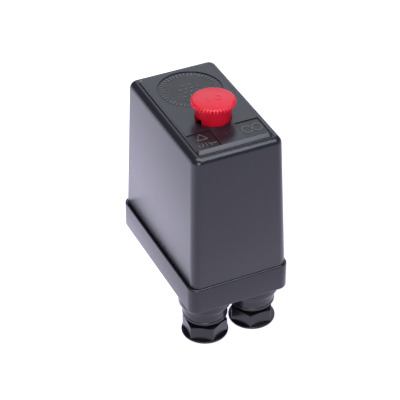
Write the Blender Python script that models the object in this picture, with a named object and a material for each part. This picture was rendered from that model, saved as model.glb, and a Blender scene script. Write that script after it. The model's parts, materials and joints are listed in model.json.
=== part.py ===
"""Pressure switch for a small air compressor: a tall tapered cover over a shallow base, a push-pull
knob on top, a pressure port underneath and two cable glands at the front end.

The origin is the centre of the pressure port's mouth. +Z points up along the port's axis, -Y points
towards the cable glands (the front), and +X is to the right of someone who looks at that end.
"""

import math

import bmesh
import bpy
from mathutils import Matrix, Vector

MM = 0.001
GAP = 0.3 * MM            # clearance between pieces that rest on each other
SLIP = 0.35 * MM          # radial clearance round a piece that slides or turns
OVER = 1.0 * MM           # how far a cutter runs past the face that it opens

# Sides of round pieces, from the largest to the smallest
LARGE = 28
MEDIUM = 20
SMALL = 12
TINY = 8

# Base moulding
BASE_WIDTH = 50.3 * MM
BASE_LENGTH = 80.0 * MM
BASE_HEIGHT = 14.2 * MM
BASE_WALL = 3.2 * MM
BASE_FLOOR = 2.7 * MM
BASE_CORNER = 4.6 * MM
BASE_EDGE = 0.8 * MM
LIP_HEIGHT = 2.4 * MM
LIP_WALL = 1.4 * MM

# Cover
LEDGE = 1.15 * MM         # how far the base stands out from the cover all round
COVER_HEIGHT = 70.8 * MM
COVER_TAPER = 2.0 * MM    # how far each side leans in over the height
COVER_WALL = 2.0 * MM
COVER_CORNER = 4.1 * MM
SHOULDER = 1.2 * MM       # height of the raised top panel above the rounded shoulder
SHOULDER_ROUND = 3.4 * MM
CREASE = 0.4 * MM         # narrow level strip between the rounded shoulder and the panel's edge
PANEL_SIDE_EDGE = 0.5 * MM
PANEL_END_EDGE = 1.7 * MM
PANEL_CORNER = 1.4 * MM
CEILING_INSET = 5.6 * MM  # from the cover's sides to the flat part of its ceiling
DIAL_RADIUS = 15.2 * MM
DIAL_DEPTH = 0.4 * MM
DIAL_BEHIND = 15.0 * MM   # the round recess lies this far behind the base's middle
BADGE_LENGTH = 12.8 * MM
BADGE_WIDTH = 11.6 * MM
BADGE_DEPTH = 0.4 * MM
BADGE_MARGIN = 0.1 * MM   # from the badge to the edge of the raised panel

# Pressure port, flange and diaphragm
PORT_LENGTH = 14.7 * MM
PORT_RADIUS = 11.0 * MM
PORT_BORE = 5.9 * MM
PORT_BORE_DEPTH = 11.0 * MM
PORT_PASSAGE = 2.5 * MM
FLANGE_SIZE = 38.0 * MM
FLANGE_THICKNESS = 4.5 * MM
FLANGE_CORNER = 3.0 * MM
FLANGE_SCREW_PITCH = 30.0 * MM
DIAPHRAGM_RADIUS = 13.0 * MM
DIAPHRAGM_THICKNESS = 1.2 * MM
CHAMBER_RADIUS = 10.0 * MM
CHAMBER_DEPTH = 1.0 * MM
PISTON_RADIUS = 9.5 * MM
PISTON_DISC = 1.5 * MM
PISTON_STEM = 4.0 * MM
PISTON_ROOM = 2.0 * MM    # clear space round the piston in the base
PISTON_TIP = 2.0 * MM     # bevel round the end that lifts the lever
PORT_BACK = 13.0 * MM     # the port lies this far behind the base's middle

# Knob, its stem and their travel
KNOB_AHEAD = 9.7 * MM    # the knob's axis lies this far in front of the base's middle
KNOB_RADIUS = 10.2 * MM
KNOB_RIM = 2.5 * MM
KNOB_RISE = 9.7 * MM      # top of the knob above the cover
KNOB_SKIRT = 8.2 * MM
KNOB_SKIRT_WALL = 1.5 * MM
KNOB_ROOF = 2.1 * MM
KNOB_EDGE = 0.5 * MM
KNOB_SKIRT_DEPTH = 3.0 * MM   # how far the skirt reaches below the cover's top
KNOB_FLUTES = 24
KNOB_FLUTE_DEPTH = 0.5 * MM
KNOB_SLOT_WIDTH = 6.9 * MM
KNOB_SLOT_RISE = 2.1 * MM     # height of the skirt's two slots above the cover's top
KNOB_TRAVEL = 5.0 * MM
STEM_RADIUS = 3.0 * MM
STEM_SOCKET_WALL = 1.4 * MM
STEM_COLLAR = 4.4 * MM
STEM_COLLAR_HEIGHT = 1.5 * MM
CLIP_WIRE = 0.6 * MM
CLIP_BEND = 5.0 * MM      # from the stem's axis to the closed end of the clip
CLIP_LEG = 6.5 * MM

# Cable glands
GLAND_SPACING = 24.6 * MM
GLAND_AHEAD = 27.0 * MM
GLAND_COLLAR = 12.5 * MM
GLAND_COLLAR_HEIGHT = 3.2 * MM
GLAND_CONE_HEIGHT = 2.2 * MM
GLAND_NECK = 10.4 * MM
GLAND_BEAD = 0.35 * MM     # how far the bead round the boss's lower end stands out
GLAND_BEAD_HEIGHT = 1.5 * MM
GLAND_DROP = 11.3 * MM    # from the base's underside to the lower rim of the gland boss
GLAND_BORE = 8.1 * MM
GLAND_MOUTH = 6.0 * MM    # opening from the gland into the base
GLAND_SEAT = 2.4 * MM     # thickness of the shoulder that the seal is pressed against
NUT_ACROSS_FLATS = 18.6 * MM
NUT_HEIGHT = 7.0 * MM
NUT_FLANGE_RADIUS = 11.1 * MM
NUT_FLANGE = 1.0 * MM
NUT_STANDOFF = 2.5 * MM   # space left between the nut and the boss when it is tight
NUT_SPIGOT = 7.5 * MM
NUT_HOLE = 4.6 * MM
NUT_TURNS = {"left": 26.3, "right": 0.8}   # how far each nut's flats are turned, in degrees
WASHER_THICKNESS = 0.8 * MM
SEAL_HOLE = 4.35 * MM

# Steel frame and lever
SHEET = 1.5 * MM
FRAME_SIDE = 1.2 * MM
FRAME_ROOM = 2.5 * MM     # from the frame's sides to the base's walls
FRAME_FRONT = -18.0 * MM
FRAME_BACK = 18.2 * MM
FRAME_SIDE_FRONT = -27.0 * MM
FRAME_SIDE_BACK = -3.0 * MM
EARTH_TONGUE = 9.0 * MM
PIN_Y = -9.0 * MM
PIN_RISE = 9.8 * MM       # lever pin above the base's floor
PIN_RADIUS = 1.5 * MM
LEVER_ROOM = 2.5 * MM     # from the lever's cheeks to the frame's sides
LEVER_ARM = 6.5 * MM      # half width of the lever's forked front arm
LEVER_BACK = 18.0 * MM
LEVER_OVER_PIN = 2.8 * MM
LEVER_CHEEK = 3.6 * MM
BEARING_PLAY = 0.1 * MM
PIN_HEAD = 0.6 * MM       # how far the pin's ends stand out of the frame
STUD_PLAY = 0.8 * MM      # radial room for each stud in the tilting lever

# Springs, studs, seats and nuts: place, stud, spring, nut and heights above the lever
RANGE_COLUMN = {
    "name": "range", "x": 0.0, "y": 10.0 * MM, "stud": 2.4 * MM, "spring": 6.4 * MM, "wire": 0.9 * MM,
    "turns": 7.5, "length": 27.0 * MM, "flats": 12.0 * MM, "nut": 6.0 * MM, "spare": 9.0 * MM,
}
DIFFERENTIAL_COLUMN = {
    "name": "differential", "x": 11.2 * MM, "y": 2.0 * MM, "stud": 1.4 * MM, "spring": 3.0 * MM,
    "wire": 0.5 * MM, "turns": 8.0, "length": 17.0 * MM, "flats": 6.0 * MM, "nut": 3.2 * MM,
    "spare": 7.0 * MM,
}
SEAT_THICKNESS = 1.6 * MM
STUD_FOOT = 1.4           # foot radius over stud radius

# Contacts and terminals
STRIP_THICKNESS = 1.2 * MM
CONTACT_RISE = 26.3 * MM  # underside of the fixed contact strips above the base's floor
CONTACT_BUTTON = 2.0 * MM
BUTTON_HEIGHT = 1.1 * MM
SLAB_FRONT = -28.6 * MM
SLAB_BACK = -15.5 * MM
SLAB_HEIGHT = 5.0 * MM
SHELF_FRONT = -36.4 * MM
SHELF_HEIGHT = 5.7 * MM
RIB_THICKNESS = 1.2 * MM
RIB_RISE = 16.5 * MM
GUIDE_RADIUS = 6.0 * MM
GUIDE_HEIGHT = 14.0 * MM
TERMINAL_Y = -32.6 * MM
TERMINAL_SCREW = 1.7 * MM
CLAMP_THICKNESS = 1.0 * MM
CLAMP_LENGTH = 6.2 * MM   # along the strip, between the shelf's front and the block behind
CARRIER_BAR = 2.5 * MM
CARRIER_DEPTH = 7.0 * MM
CARRIER_FOOT = 4.6 * MM
CARRIER_POST = 1.0 * MM   # half thickness of the carrier's post; its neck is twice as thick
CARRIER_POST_DEPTH = 2.4 * MM
CARRIER_NECK_DEPTH = 3.0 * MM
CARRIER_FOOT_HEIGHT = 2.0 * MM
CARRIER_SPRING = {"radius": 3.4 * MM, "wire": 0.45 * MM, "turns": 5.0}
POST_RISE = 2.0 * MM      # the carrier's post stands this far out of the contact block
CONTACT_SPRING = 2.5 * MM
CONTACT_SPRING_WIRE = 0.22 * MM
THRUST_WASHER = 1.2 * MM
THRUST_RADIUS = 6.0 * MM

# Screws: shank radius, head radius, head height
COVER_SCREW = {"shank": 1.3 * MM, "head": 2.2 * MM, "height": 1.5 * MM}
COVER_SCREW_GRIP = 9.0 * MM
COVER_BOSS = 3.0 * MM
BLIND_END = 1.5 * MM       # plastic left beyond the end of a blind hole
COVER_SCREW_INSET = 4.0 * MM     # from the cover's end walls to the screws
COVER_SCREW_SIDE_INSET = 5.4 * MM
FLANGE_SCREW = {"shank": 2.0 * MM, "head": 3.5 * MM, "height": 2.2 * MM}
BLOCK_SCREW = {"shank": 1.2 * MM, "head": 2.4 * MM, "height": 1.1 * MM}
BLOCK_SCREW_INSET = 4.0 * MM
BLOCK_SCREW_REACH = 5.0 * MM     # how far each side screw goes into the contact block
TERMINAL_HEAD = {"shank": TERMINAL_SCREW, "head": 2.8 * MM, "height": 2.0 * MM}
EARTH_SCREW = {"shank": 1.7 * MM, "head": 3.0 * MM, "height": 2.0 * MM}
EARTH_WASHER = {"radius": 3.6 * MM, "thickness": 0.8 * MM}
SLOT_WIDTH = 0.9 * MM
SLOT_DEPTH = 0.8 * MM

# Heights and places that follow from the sizes above
MIDDLE_Y = -PORT_BACK
BASE_BOTTOM = PORT_LENGTH + FLANGE_THICKNESS + GAP
FLOOR_Z = BASE_BOTTOM + BASE_FLOOR
SEAM_Z = BASE_BOTTOM + BASE_HEIGHT
TOP_Z = SEAM_Z + COVER_HEIGHT
KNOB_Y = MIDDLE_Y - KNOB_AHEAD
GLAND_Y = MIDDLE_Y - GLAND_AHEAD
GLAND_RIM = BASE_BOTTOM - GLAND_DROP
FRAME_Z = FLOOR_Z + GAP
FRAME_HALF_WIDTH = BASE_WIDTH / 2 - BASE_WALL - FRAME_ROOM
LEVER_HALF_WIDTH = FRAME_HALF_WIDTH - FRAME_SIDE - LEVER_ROOM
BLOCK_HALF_WIDTH = FRAME_HALF_WIDTH - FRAME_SIDE - GAP
POLE_PITCH = (2 * BLOCK_HALF_WIDTH - RIB_THICKNESS) / 4
STRIP_WIDTH = 0.65 * POLE_PITCH
CLAMP_WIDTH = 0.72 * POLE_PITCH
CARRIER_HALF_WIDTH = 1.5 * POLE_PITCH + STRIP_WIDTH / 2
PIN_Z = FLOOR_Z + PIN_RISE
LEVER_Z = PIN_Z + LEVER_OVER_PIN
LEVER_TOP = LEVER_Z + SHEET
STRIP_Z = FLOOR_Z + CONTACT_RISE
SLAB_Z = STRIP_Z + STRIP_THICKNESS + GAP
GUIDE_TOP = SLAB_Z + GUIDE_HEIGHT
POLES = {
    1: -1.5 * POLE_PITCH,
    2: -0.5 * POLE_PITCH,
    3: 0.5 * POLE_PITCH,
    4: 1.5 * POLE_PITCH,
}
SIDES = {"left": -1, "right": 1}
MOULDINGS = ("base", "cover", "gland_nut_left", "gland_nut_right")

# Finishes: colour, roughness, metallic
FINISHES = {
    "black_cover": ((0.060, 0.060, 0.075), 0.42, 0.0),
    "black_base": ((0.058, 0.058, 0.074), 0.48, 0.0),
    "black_nut": ((0.035, 0.035, 0.042), 0.40, 0.0),
    "red_knob": ((0.700, 0.010, 0.030), 0.38, 0.0),
    "white_nylon": ((0.780, 0.760, 0.700), 0.45, 0.0),
    "brown_moulding": ((0.110, 0.052, 0.030), 0.50, 0.0),
    "black_rubber": ((0.022, 0.022, 0.022), 0.75, 0.0),
    "cast_alloy": ((0.560, 0.560, 0.570), 0.42, 0.9),
    "plated_steel": ((0.640, 0.620, 0.540), 0.34, 1.0),
    "spring_steel": ((0.460, 0.460, 0.480), 0.30, 1.0),
    "contact_brass": ((0.740, 0.560, 0.230), 0.30, 1.0),
}


def clear_scene():
    for old in list(bpy.data.objects):
        bpy.data.objects.remove(old, do_unlink=True)


def give_finish(obj, finish):
    colour, roughness, metallic = FINISHES[finish]
    material = bpy.data.materials.new(f"{obj.name}_{finish}")
    material.use_nodes = True
    shader = material.node_tree.nodes["Principled BSDF"]
    shader.inputs["Base Color"].default_value = (*colour, 1.0)
    shader.inputs["Roughness"].default_value = roughness
    shader.inputs["Metallic"].default_value = metallic
    obj.data.materials.append(material)


def add_object(name, work, at, finish):
    """Turns a finished bmesh into an object whose origin is at the point given."""
    bmesh.ops.recalc_face_normals(work, faces=work.faces)
    mesh = bpy.data.meshes.new(name)
    work.to_mesh(mesh)
    work.free()
    mesh.shade_smooth()
    mesh.set_sharp_from_angle(angle=math.radians(35))
    obj = bpy.data.objects.new(name, mesh)
    obj.location = at
    bpy.context.scene.collection.objects.link(obj)
    if finish:
        give_finish(obj, finish)
    return obj


def combine(target, tool, how):
    """Adds a Boolean with a helper that isn't part of the object itself.

    The large mouldings take so many joins and cuts that they need the solver made for closed meshes;
    every other piece keeps the exact one.
    """
    tool.hide_render = True
    tool.display_type = "WIRE"
    step = target.modifiers.new(tool.name, "BOOLEAN")
    step.operation = how
    step.solver = "MANIFOLD" if target.name in MOULDINGS else "EXACT"
    step.object = tool


def cut(target, *tools):
    for tool in tools:
        combine(target, tool, "DIFFERENCE")


def join(target, *tools):
    for tool in tools:
        combine(target, tool, "UNION")


def turned(name, profile, at, finish=None, steps=MEDIUM, axis="Z"):
    """Spins an outline of (radius, height) points about the vertical through the point given.

    A closed outline makes a ring; one that starts and ends on the axis makes a solid.
    """
    work = bmesh.new()
    corners = [work.verts.new((radius, 0, height)) for radius, height in profile]
    edges = [work.edges.new(pair) for pair in zip(corners, corners[1:])]
    if profile[0][0] > 0:
        edges.append(work.edges.new((corners[-1], corners[0])))
    bmesh.ops.spin(
        work, geom=corners + edges, cent=(0, 0, 0), axis=(0, 0, 1),
        angle=math.tau, steps=steps, use_merge=True,
    )
    bmesh.ops.remove_doubles(work, verts=work.verts, dist=1e-7)
    if axis == "X":
        bmesh.ops.rotate(work, verts=work.verts, matrix=Matrix.Rotation(math.pi / 2, 3, "Y"))
    return add_object(name, work, at, finish)


def rod(name, radius, bottom, top, at, finish=None, steps=MEDIUM, axis="Z"):
    profile = [(0, bottom), (radius, bottom), (radius, top), (0, top)]
    return turned(name, profile, at, finish, steps, axis)


def ring(name, inner, outer, bottom, top, at, finish=None, steps=MEDIUM):
    profile = [(inner, bottom), (outer, bottom), (outer, top), (inner, top)]
    return turned(name, profile, at, finish, steps)


def block(name, low, high, finish=None, bevel=0.0):
    """A box between two corners, with its origin in its middle."""
    low, high = Vector(low), Vector(high)
    work = bmesh.new()
    bmesh.ops.create_cube(work, size=1.0)
    bmesh.ops.scale(work, verts=work.verts, vec=high - low)
    if bevel:
        upright = [e for e in work.edges if abs(e.verts[0].co.z - e.verts[1].co.z) > bevel]
        bmesh.ops.bevel(
            work, geom=upright, offset=bevel, segments=3, profile=0.5,
            affect="EDGES", material=-1,
        )
    return add_object(name, work, (low + high) / 2, finish)


def hexagon_bar(name, across_flats, bottom, top, at, turn=0.0):
    """A six-sided bar with one corner turned by an angle from +X."""
    work = bmesh.new()
    corner = across_flats / math.sqrt(3)
    bmesh.ops.create_cone(
        work, segments=6, radius1=corner, radius2=corner, depth=top - bottom, cap_ends=True,
    )
    first = max(work.verts, key=lambda v: (round(v.co.x, 6), v.co.z))
    start = math.atan2(first.co.y, first.co.x)
    spin = Matrix.Rotation(turn - start, 3, "Z")
    bmesh.ops.rotate(work, verts=work.verts, matrix=spin)
    bmesh.ops.translate(work, verts=work.verts, vec=(0, 0, (top + bottom) / 2))
    return add_object(name, work, at, None)


def plan_ring(work, half_x, half_y, corner, z, steps=4):
    """The corners of one level rounded rectangle, in order."""
    points = []
    for quarter in range(4):
        turn = quarter * math.pi / 2
        side_x = half_x - corner if quarter in (0, 3) else -(half_x - corner)
        side_y = half_y - corner if quarter in (0, 1) else -(half_y - corner)
        for step in range(steps + 1):
            angle = turn + step / steps * math.pi / 2
            points.append((side_x + corner * math.cos(angle), side_y + corner * math.sin(angle), z))
    return [work.verts.new(p) for p in points]


def skin(name, plans, at, finish):
    """Joins a run of rounded rectangles (half_x, half_y, corner, z) and closes its two ends."""
    work = bmesh.new()
    loops = [plan_ring(work, *plan) for plan in plans]
    for lower, upper in zip(loops, loops[1:]):
        for here, there in zip(range(len(lower)), [*range(1, len(lower)), 0]):
            work.faces.new((lower[here], lower[there], upper[there], upper[here]))
    work.faces.new(loops[0])
    work.faces.new(loops[-1])
    return add_object(name, work, at, finish)


def screw(name, size, length, at, finish="plated_steel", facing="up", steps=SMALL):
    """A slotted pan-head screw. Its origin is under the head, and the head faces the way named."""
    head, shank, height = size["head"], size["shank"], size["height"]
    profile = [
        (0, -length), (shank * 0.6, -length), (shank, -length + shank * 0.6), (shank, 0), (head, 0),
        (head, height * 0.6), (head * 0.82, height), (0, height),
    ]
    piece = turned(name, profile, at, finish, steps)
    slot = block(
        f"{name}_slot", (-head - OVER, -SLOT_WIDTH / 2, height - SLOT_DEPTH),
        (head + OVER, SLOT_WIDTH / 2, height + OVER),
    )
    way = {
        "up": Matrix.Identity(3),
        "down": Matrix.Rotation(math.pi, 3, "X"),
        "left": Matrix.Rotation(-math.pi / 2, 3, "Y"),
        "right": Matrix.Rotation(math.pi / 2, 3, "Y"),
    }[facing]
    piece.rotation_euler = way.to_euler()
    slot.location = Vector(at) + way @ slot.location
    slot.rotation_euler = way.to_euler()
    cut(piece, slot)
    return piece


def coil(name, radius, wire, bottom, top, turns, at):
    """A compression spring whose first and last turns lie flat."""
    low, high = bottom + wire, top - wire
    closed = 2.2 * wire
    points = []
    count = int(turns * TINY)
    for step in range(count + 1):
        turn = step / TINY
        share = min(max((turn - 1) / (turns - 2), 0.0), 1.0)
        ends = min(turn, 1.0) + max(turn - (turns - 1), 0.0)
        height = low + closed * ends + (high - low - 2 * closed) * share
        angle = math.tau * turn
        points.append((radius * math.cos(angle), radius * math.sin(angle), height, 1.0))
    return wire_shape(name, points, wire, at, "spring_steel")


def wire_shape(name, points, wire, at, finish):
    """A round wire, of eight sides, along a run of points."""
    curve = bpy.data.curves.new(name, "CURVE")
    curve.dimensions = "3D"
    curve.bevel_depth = wire
    curve.bevel_resolution = 0
    curve.use_fill_caps = True
    spline = curve.splines.new("POLY")
    spline.points.add(len(points) - 1)
    for point, place in zip(spline.points, points):
        point.co = place
    obj = bpy.data.objects.new(name, curve)
    obj.location = at
    bpy.context.scene.collection.objects.link(obj)
    give_finish(obj, finish)
    return obj


def lean_at(height):
    """How far the cover's side has leaned in at a height above the seam."""
    return COVER_TAPER * height / COVER_HEIGHT


def cover_screw_places():
    end = BASE_LENGTH / 2 - LEDGE - COVER_SCREW_INSET
    side = BASE_WIDTH / 2 - LEDGE - COVER_SCREW_SIDE_INSET
    return {
        "front": (0.0, MIDDLE_Y - end),
        "rear_left": (-side, MIDDLE_Y + end),
        "rear_right": (side, MIDDLE_Y + end),
    }


def make_base():
    half_x, half_y = BASE_WIDTH / 2, BASE_LENGTH / 2
    in_x, in_y = half_x - BASE_WALL, half_y - BASE_WALL
    lip_x = half_x - LEDGE - COVER_WALL - GAP - lean_at(LIP_HEIGHT)
    lip_y = half_y - LEDGE - COVER_WALL - GAP - lean_at(LIP_HEIGHT)
    corner = BASE_CORNER
    inner = max(corner - BASE_WALL, 1.0 * MM)
    base = skin("base", [
        (in_x, in_y, inner, FLOOR_Z),
        (in_x, in_y, inner, SEAM_Z - LIP_WALL),
        (lip_x - LIP_WALL, lip_y - LIP_WALL, inner, SEAM_Z),
        (lip_x - LIP_WALL, lip_y - LIP_WALL, inner, SEAM_Z + LIP_HEIGHT),
        (lip_x, lip_y, inner, SEAM_Z + LIP_HEIGHT),
        (lip_x, lip_y, inner, SEAM_Z),
        (half_x, half_y, corner, SEAM_Z),
        (half_x, half_y, corner, BASE_BOTTOM + BASE_EDGE),
        (half_x - BASE_EDGE, half_y - BASE_EDGE, corner - BASE_EDGE, BASE_BOTTOM),
    ], (0, MIDDLE_Y, 0), "black_base")
    for side, sign in SIDES.items():
        at = (sign * GLAND_SPACING / 2, GLAND_Y, 0)
        cone_top = BASE_BOTTOM - GLAND_COLLAR_HEIGHT
        bead = GLAND_NECK + GLAND_BEAD
        join(base, turned(f"gland_boss_{side}", [
            (0, GLAND_RIM), (GLAND_NECK, GLAND_RIM), (bead, GLAND_RIM + GLAND_BEAD),
            (bead, GLAND_RIM + GLAND_BEAD_HEIGHT - GLAND_BEAD), (GLAND_NECK, GLAND_RIM + GLAND_BEAD_HEIGHT),
            (GLAND_NECK, cone_top - GLAND_CONE_HEIGHT), (GLAND_COLLAR, cone_top),
            (GLAND_COLLAR, BASE_BOTTOM + BASE_FLOOR / 2), (0, BASE_BOTTOM + BASE_FLOOR / 2),
        ], at))
    places = cover_screw_places()
    for name, (x, y) in places.items():
        foot = BASE_BOTTOM + BASE_FLOOR / 2
        join(base, rod(f"pillar_{name}", COVER_BOSS, foot, SEAM_Z, (x, y, 0), steps=SMALL))
    for name, (x, y) in places.items():
        at = (x, y, 0)
        sunk = COVER_SCREW["height"] + GAP
        cut(
            base,
            rod(f"lip_gap_{name}", COVER_BOSS + GAP, SEAM_Z, SEAM_Z + LIP_HEIGHT + OVER, at, steps=SMALL),
            turned(f"cover_screw_hole_{name}", [
                (0, BASE_BOTTOM - OVER), (COVER_SCREW["head"] + GAP, BASE_BOTTOM - OVER),
                (COVER_SCREW["head"] + GAP, BASE_BOTTOM + sunk),
                (COVER_SCREW["shank"] + GAP, BASE_BOTTOM + sunk),
                (COVER_SCREW["shank"] + GAP, SEAM_Z + OVER), (0, SEAM_Z + OVER),
            ], at, steps=SMALL),
        )
    for side, sign in SIDES.items():
        at = (sign * GLAND_SPACING / 2, GLAND_Y, 0)
        seat = FLOOR_Z - GLAND_SEAT
        cut(base, turned(f"gland_bore_{side}", [
            (0, GLAND_RIM - OVER), (GLAND_BORE, GLAND_RIM - OVER), (GLAND_BORE, seat),
            (GLAND_MOUTH, seat), (GLAND_MOUTH, FLOOR_Z + OVER), (0, FLOOR_Z + OVER),
        ], at, steps=MEDIUM))
    well = PISTON_RADIUS + PISTON_ROOM
    cut(base, rod("piston_well", well, BASE_BOTTOM - OVER, FLOOR_Z + OVER, (0, 0, 0)))
    for x, y in flange_screw_places():
        cut(base, rod(
            "flange_screw_way", FLANGE_SCREW["shank"] + GAP, BASE_BOTTOM - OVER, FLOOR_Z + OVER,
            (x, y, 0), steps=SMALL,
        ))
    return base


def make_cover():
    half_x, half_y = BASE_WIDTH / 2 - LEDGE, BASE_LENGTH / 2 - LEDGE
    bottom = SEAM_Z + GAP
    shoulder_top = TOP_Z - SHOULDER
    wall_top = shoulder_top - SHOULDER_ROUND
    lean = lean_at(wall_top - SEAM_Z)
    top_x, top_y = half_x - lean, half_y - lean
    inner_corner = COVER_CORNER - COVER_WALL
    plans = [
        (half_x - CEILING_INSET - lean, half_y - CEILING_INSET - lean, inner_corner, TOP_Z - COVER_WALL),
        (top_x - COVER_WALL, top_y - COVER_WALL, inner_corner, wall_top),
        (half_x - COVER_WALL, half_y - COVER_WALL, inner_corner, bottom),
        (half_x, half_y, COVER_CORNER, bottom),
        (top_x, top_y, COVER_CORNER, wall_top),
    ]
    arc_steps = 4
    for step in range(1, arc_steps + 1):
        angle = step / arc_steps * math.pi / 2
        inset = SHOULDER_ROUND * (1 - math.cos(angle))
        height = wall_top + SHOULDER_ROUND * math.sin(angle)
        plans.append((top_x - inset, top_y - inset, max(COVER_CORNER - inset, PANEL_CORNER), height))
    panel_x, panel_y = panel_half_sizes()
    for out, height in ((1.0, shoulder_top - CREASE / 4), (0.3, TOP_Z - 0.3 * SHOULDER), (0.0, TOP_Z)):
        plans.append((panel_x + out * PANEL_SIDE_EDGE, panel_y + out * PANEL_END_EDGE, PANEL_CORNER, height))
    cover = skin("cover", plans, (0, MIDDLE_Y, 0), "black_cover")
    boss_top = bottom + COVER_SCREW_GRIP
    for name, (x, y) in cover_screw_places().items():
        join(cover, rod(f"cover_boss_{name}", COVER_BOSS, bottom, boss_top, (x, y, 0), steps=SMALL))
    for name, (x, y) in cover_screw_places().items():
        cut(cover, rod(
            f"cover_thread_{name}", COVER_SCREW["shank"] + GAP, bottom - OVER, boss_top - BLIND_END,
            (x, y, 0), steps=SMALL,
        ))
    low = TOP_Z - COVER_WALL - OVER
    cut(
        cover,
        rod("knob_hole", KNOB_SKIRT + SLIP, low, TOP_Z + OVER, (0, KNOB_Y, 0), steps=LARGE),
        rod(
            "dial_recess", DIAL_RADIUS, TOP_Z - DIAL_DEPTH, TOP_Z + OVER,
            (0, MIDDLE_Y + DIAL_BEHIND, 0), steps=LARGE,
        ),
    )
    for side, sign in SIDES.items():
        outer = sign * (panel_x - BADGE_MARGIN)
        inner = sign * (panel_x - BADGE_MARGIN - BADGE_WIDTH)
        front = MIDDLE_Y - panel_y + BADGE_MARGIN
        cut(cover, block(
            f"badge_recess_{side}",
            (min(outer, inner), front, TOP_Z - BADGE_DEPTH),
            (max(outer, inner), front + BADGE_LENGTH, TOP_Z + OVER),
        ))
    return cover


def panel_half_sizes():
    """Half width and half length of the raised top panel."""
    inset = LEDGE + COVER_TAPER + SHOULDER_ROUND + CREASE
    return BASE_WIDTH / 2 - inset - PANEL_SIDE_EDGE, BASE_LENGTH / 2 - inset - PANEL_END_EDGE


def make_cover_screws():
    sunk = COVER_SCREW["height"] + GAP
    for name, (x, y) in cover_screw_places().items():
        under_head = BASE_BOTTOM + sunk - GAP
        length = SEAM_Z + COVER_SCREW_GRIP - BLIND_END - MM - under_head
        screw(f"cover_screw_{name}", COVER_SCREW, length, (x, y, under_head), facing="down")


def flange_screw_places():
    half = FLANGE_SCREW_PITCH / 2
    return [(-half, -half), (half, -half), (half, half), (-half, half)]


def make_flange():
    half = FLANGE_SIZE / 2
    top = PORT_LENGTH + FLANGE_THICKNESS
    flange = block(
        "pressure_flange", (-half, -half, PORT_LENGTH), (half, half, top), "cast_alloy", FLANGE_CORNER,
    )
    join(flange, turned("port_boss", [
        (0, 0), (PORT_RADIUS - 0.8 * MM, 0), (PORT_RADIUS, 0.8 * MM),
        (PORT_RADIUS, PORT_LENGTH + FLANGE_THICKNESS / 2), (0, PORT_LENGTH + FLANGE_THICKNESS / 2),
    ], (0, 0, 0), steps=LARGE))
    pocket = DIAPHRAGM_THICKNESS + GAP
    cut(flange, turned("pressure_way", [
        (0, -OVER), (PORT_BORE, -OVER), (PORT_BORE, PORT_BORE_DEPTH),
        (PORT_PASSAGE, PORT_BORE_DEPTH + BLIND_END), (PORT_PASSAGE, top - pocket - CHAMBER_DEPTH),
        (CHAMBER_RADIUS, top - pocket - CHAMBER_DEPTH), (CHAMBER_RADIUS, top - pocket),
        (DIAPHRAGM_RADIUS + GAP, top - pocket), (DIAPHRAGM_RADIUS + GAP, top + OVER), (0, top + OVER),
    ], (0, 0, 0), steps=LARGE))
    for x, y in flange_screw_places():
        cut(flange, rod(
            "flange_screw_hole", FLANGE_SCREW["shank"] + GAP, PORT_LENGTH - OVER, top + OVER,
            (x, y, 0), steps=SMALL,
        ))


def make_diaphragm_and_piston():
    top = PORT_LENGTH + FLANGE_THICKNESS
    under = top - DIAPHRAGM_THICKNESS
    rod("diaphragm", DIAPHRAGM_RADIUS, under, top, (0, 0, 0), "black_rubber", steps=LARGE)
    low = BASE_BOTTOM + GAP
    tip = LEVER_Z - GAP - low
    turned("piston", [
        (0, 0), (PISTON_RADIUS, 0), (PISTON_RADIUS, PISTON_DISC - 0.6 * MM),
        (PISTON_RADIUS - 0.6 * MM, PISTON_DISC), (PISTON_STEM, PISTON_DISC),
        (PISTON_STEM, tip - PISTON_TIP), (PISTON_STEM - PISTON_TIP, tip), (0, tip),
    ], (0, 0, low), "white_nylon", steps=MEDIUM)


def make_flange_screws():
    length = FRAME_Z + SHEET + 1.5 * MM - PORT_LENGTH + GAP
    for number, (x, y) in enumerate(flange_screw_places(), start=1):
        screw(f"flange_screw_{number}", FLANGE_SCREW, length, (x, y, PORT_LENGTH - GAP), facing="down")


def make_frame():
    top = FRAME_Z + SHEET
    frame = block(
        "frame_bracket", (-FRAME_HALF_WIDTH, FRAME_FRONT, FRAME_Z),
        (FRAME_HALF_WIDTH, FRAME_BACK, top), "plated_steel",
    )
    side_top = SLAB_Z + SLAB_HEIGHT
    for side, sign in SIDES.items():
        outer, inner = sign * FRAME_HALF_WIDTH, sign * (FRAME_HALF_WIDTH - FRAME_SIDE)
        join(frame, block(
            f"frame_side_{side}", (min(outer, inner), FRAME_SIDE_FRONT, FRAME_Z + SHEET / 3),
            (max(outer, inner), FRAME_SIDE_BACK, side_top),
        ))
    tongue_x = earth_place()[0]
    join(frame, block(
        "earth_tongue", (tongue_x - EARTH_TONGUE / 2, FRAME_SIDE_FRONT, FRAME_Z),
        (tongue_x + EARTH_TONGUE / 2, FRAME_FRONT + OVER, top),
    ))
    cut(
        frame,
        rod(
            "lever_pin_hole", PIN_RADIUS + GAP, -BASE_WIDTH, BASE_WIDTH,
            (0, PIN_Y, PIN_Z), steps=SMALL, axis="X",
        ),
        rod(
            "block_screw_way", BLOCK_SCREW["shank"] + GAP, -BASE_WIDTH, BASE_WIDTH,
            block_screw_place(), steps=TINY, axis="X",
        ),
        rod("piston_way", PISTON_STEM + PISTON_ROOM / 2, FRAME_Z - OVER, top + OVER, (0, 0, 0)),
        rod(
            "earth_hole", EARTH_SCREW["shank"] + GAP, FRAME_Z - OVER, top + OVER,
            (*earth_place(), 0), steps=TINY,
        ),
    )
    for x, y in flange_screw_places():
        cut(frame, rod(
            "frame_screw_hole", FLANGE_SCREW["shank"] + GAP, FRAME_Z - OVER, top + OVER,
            (x, y, 0), steps=SMALL,
        ))


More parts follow.
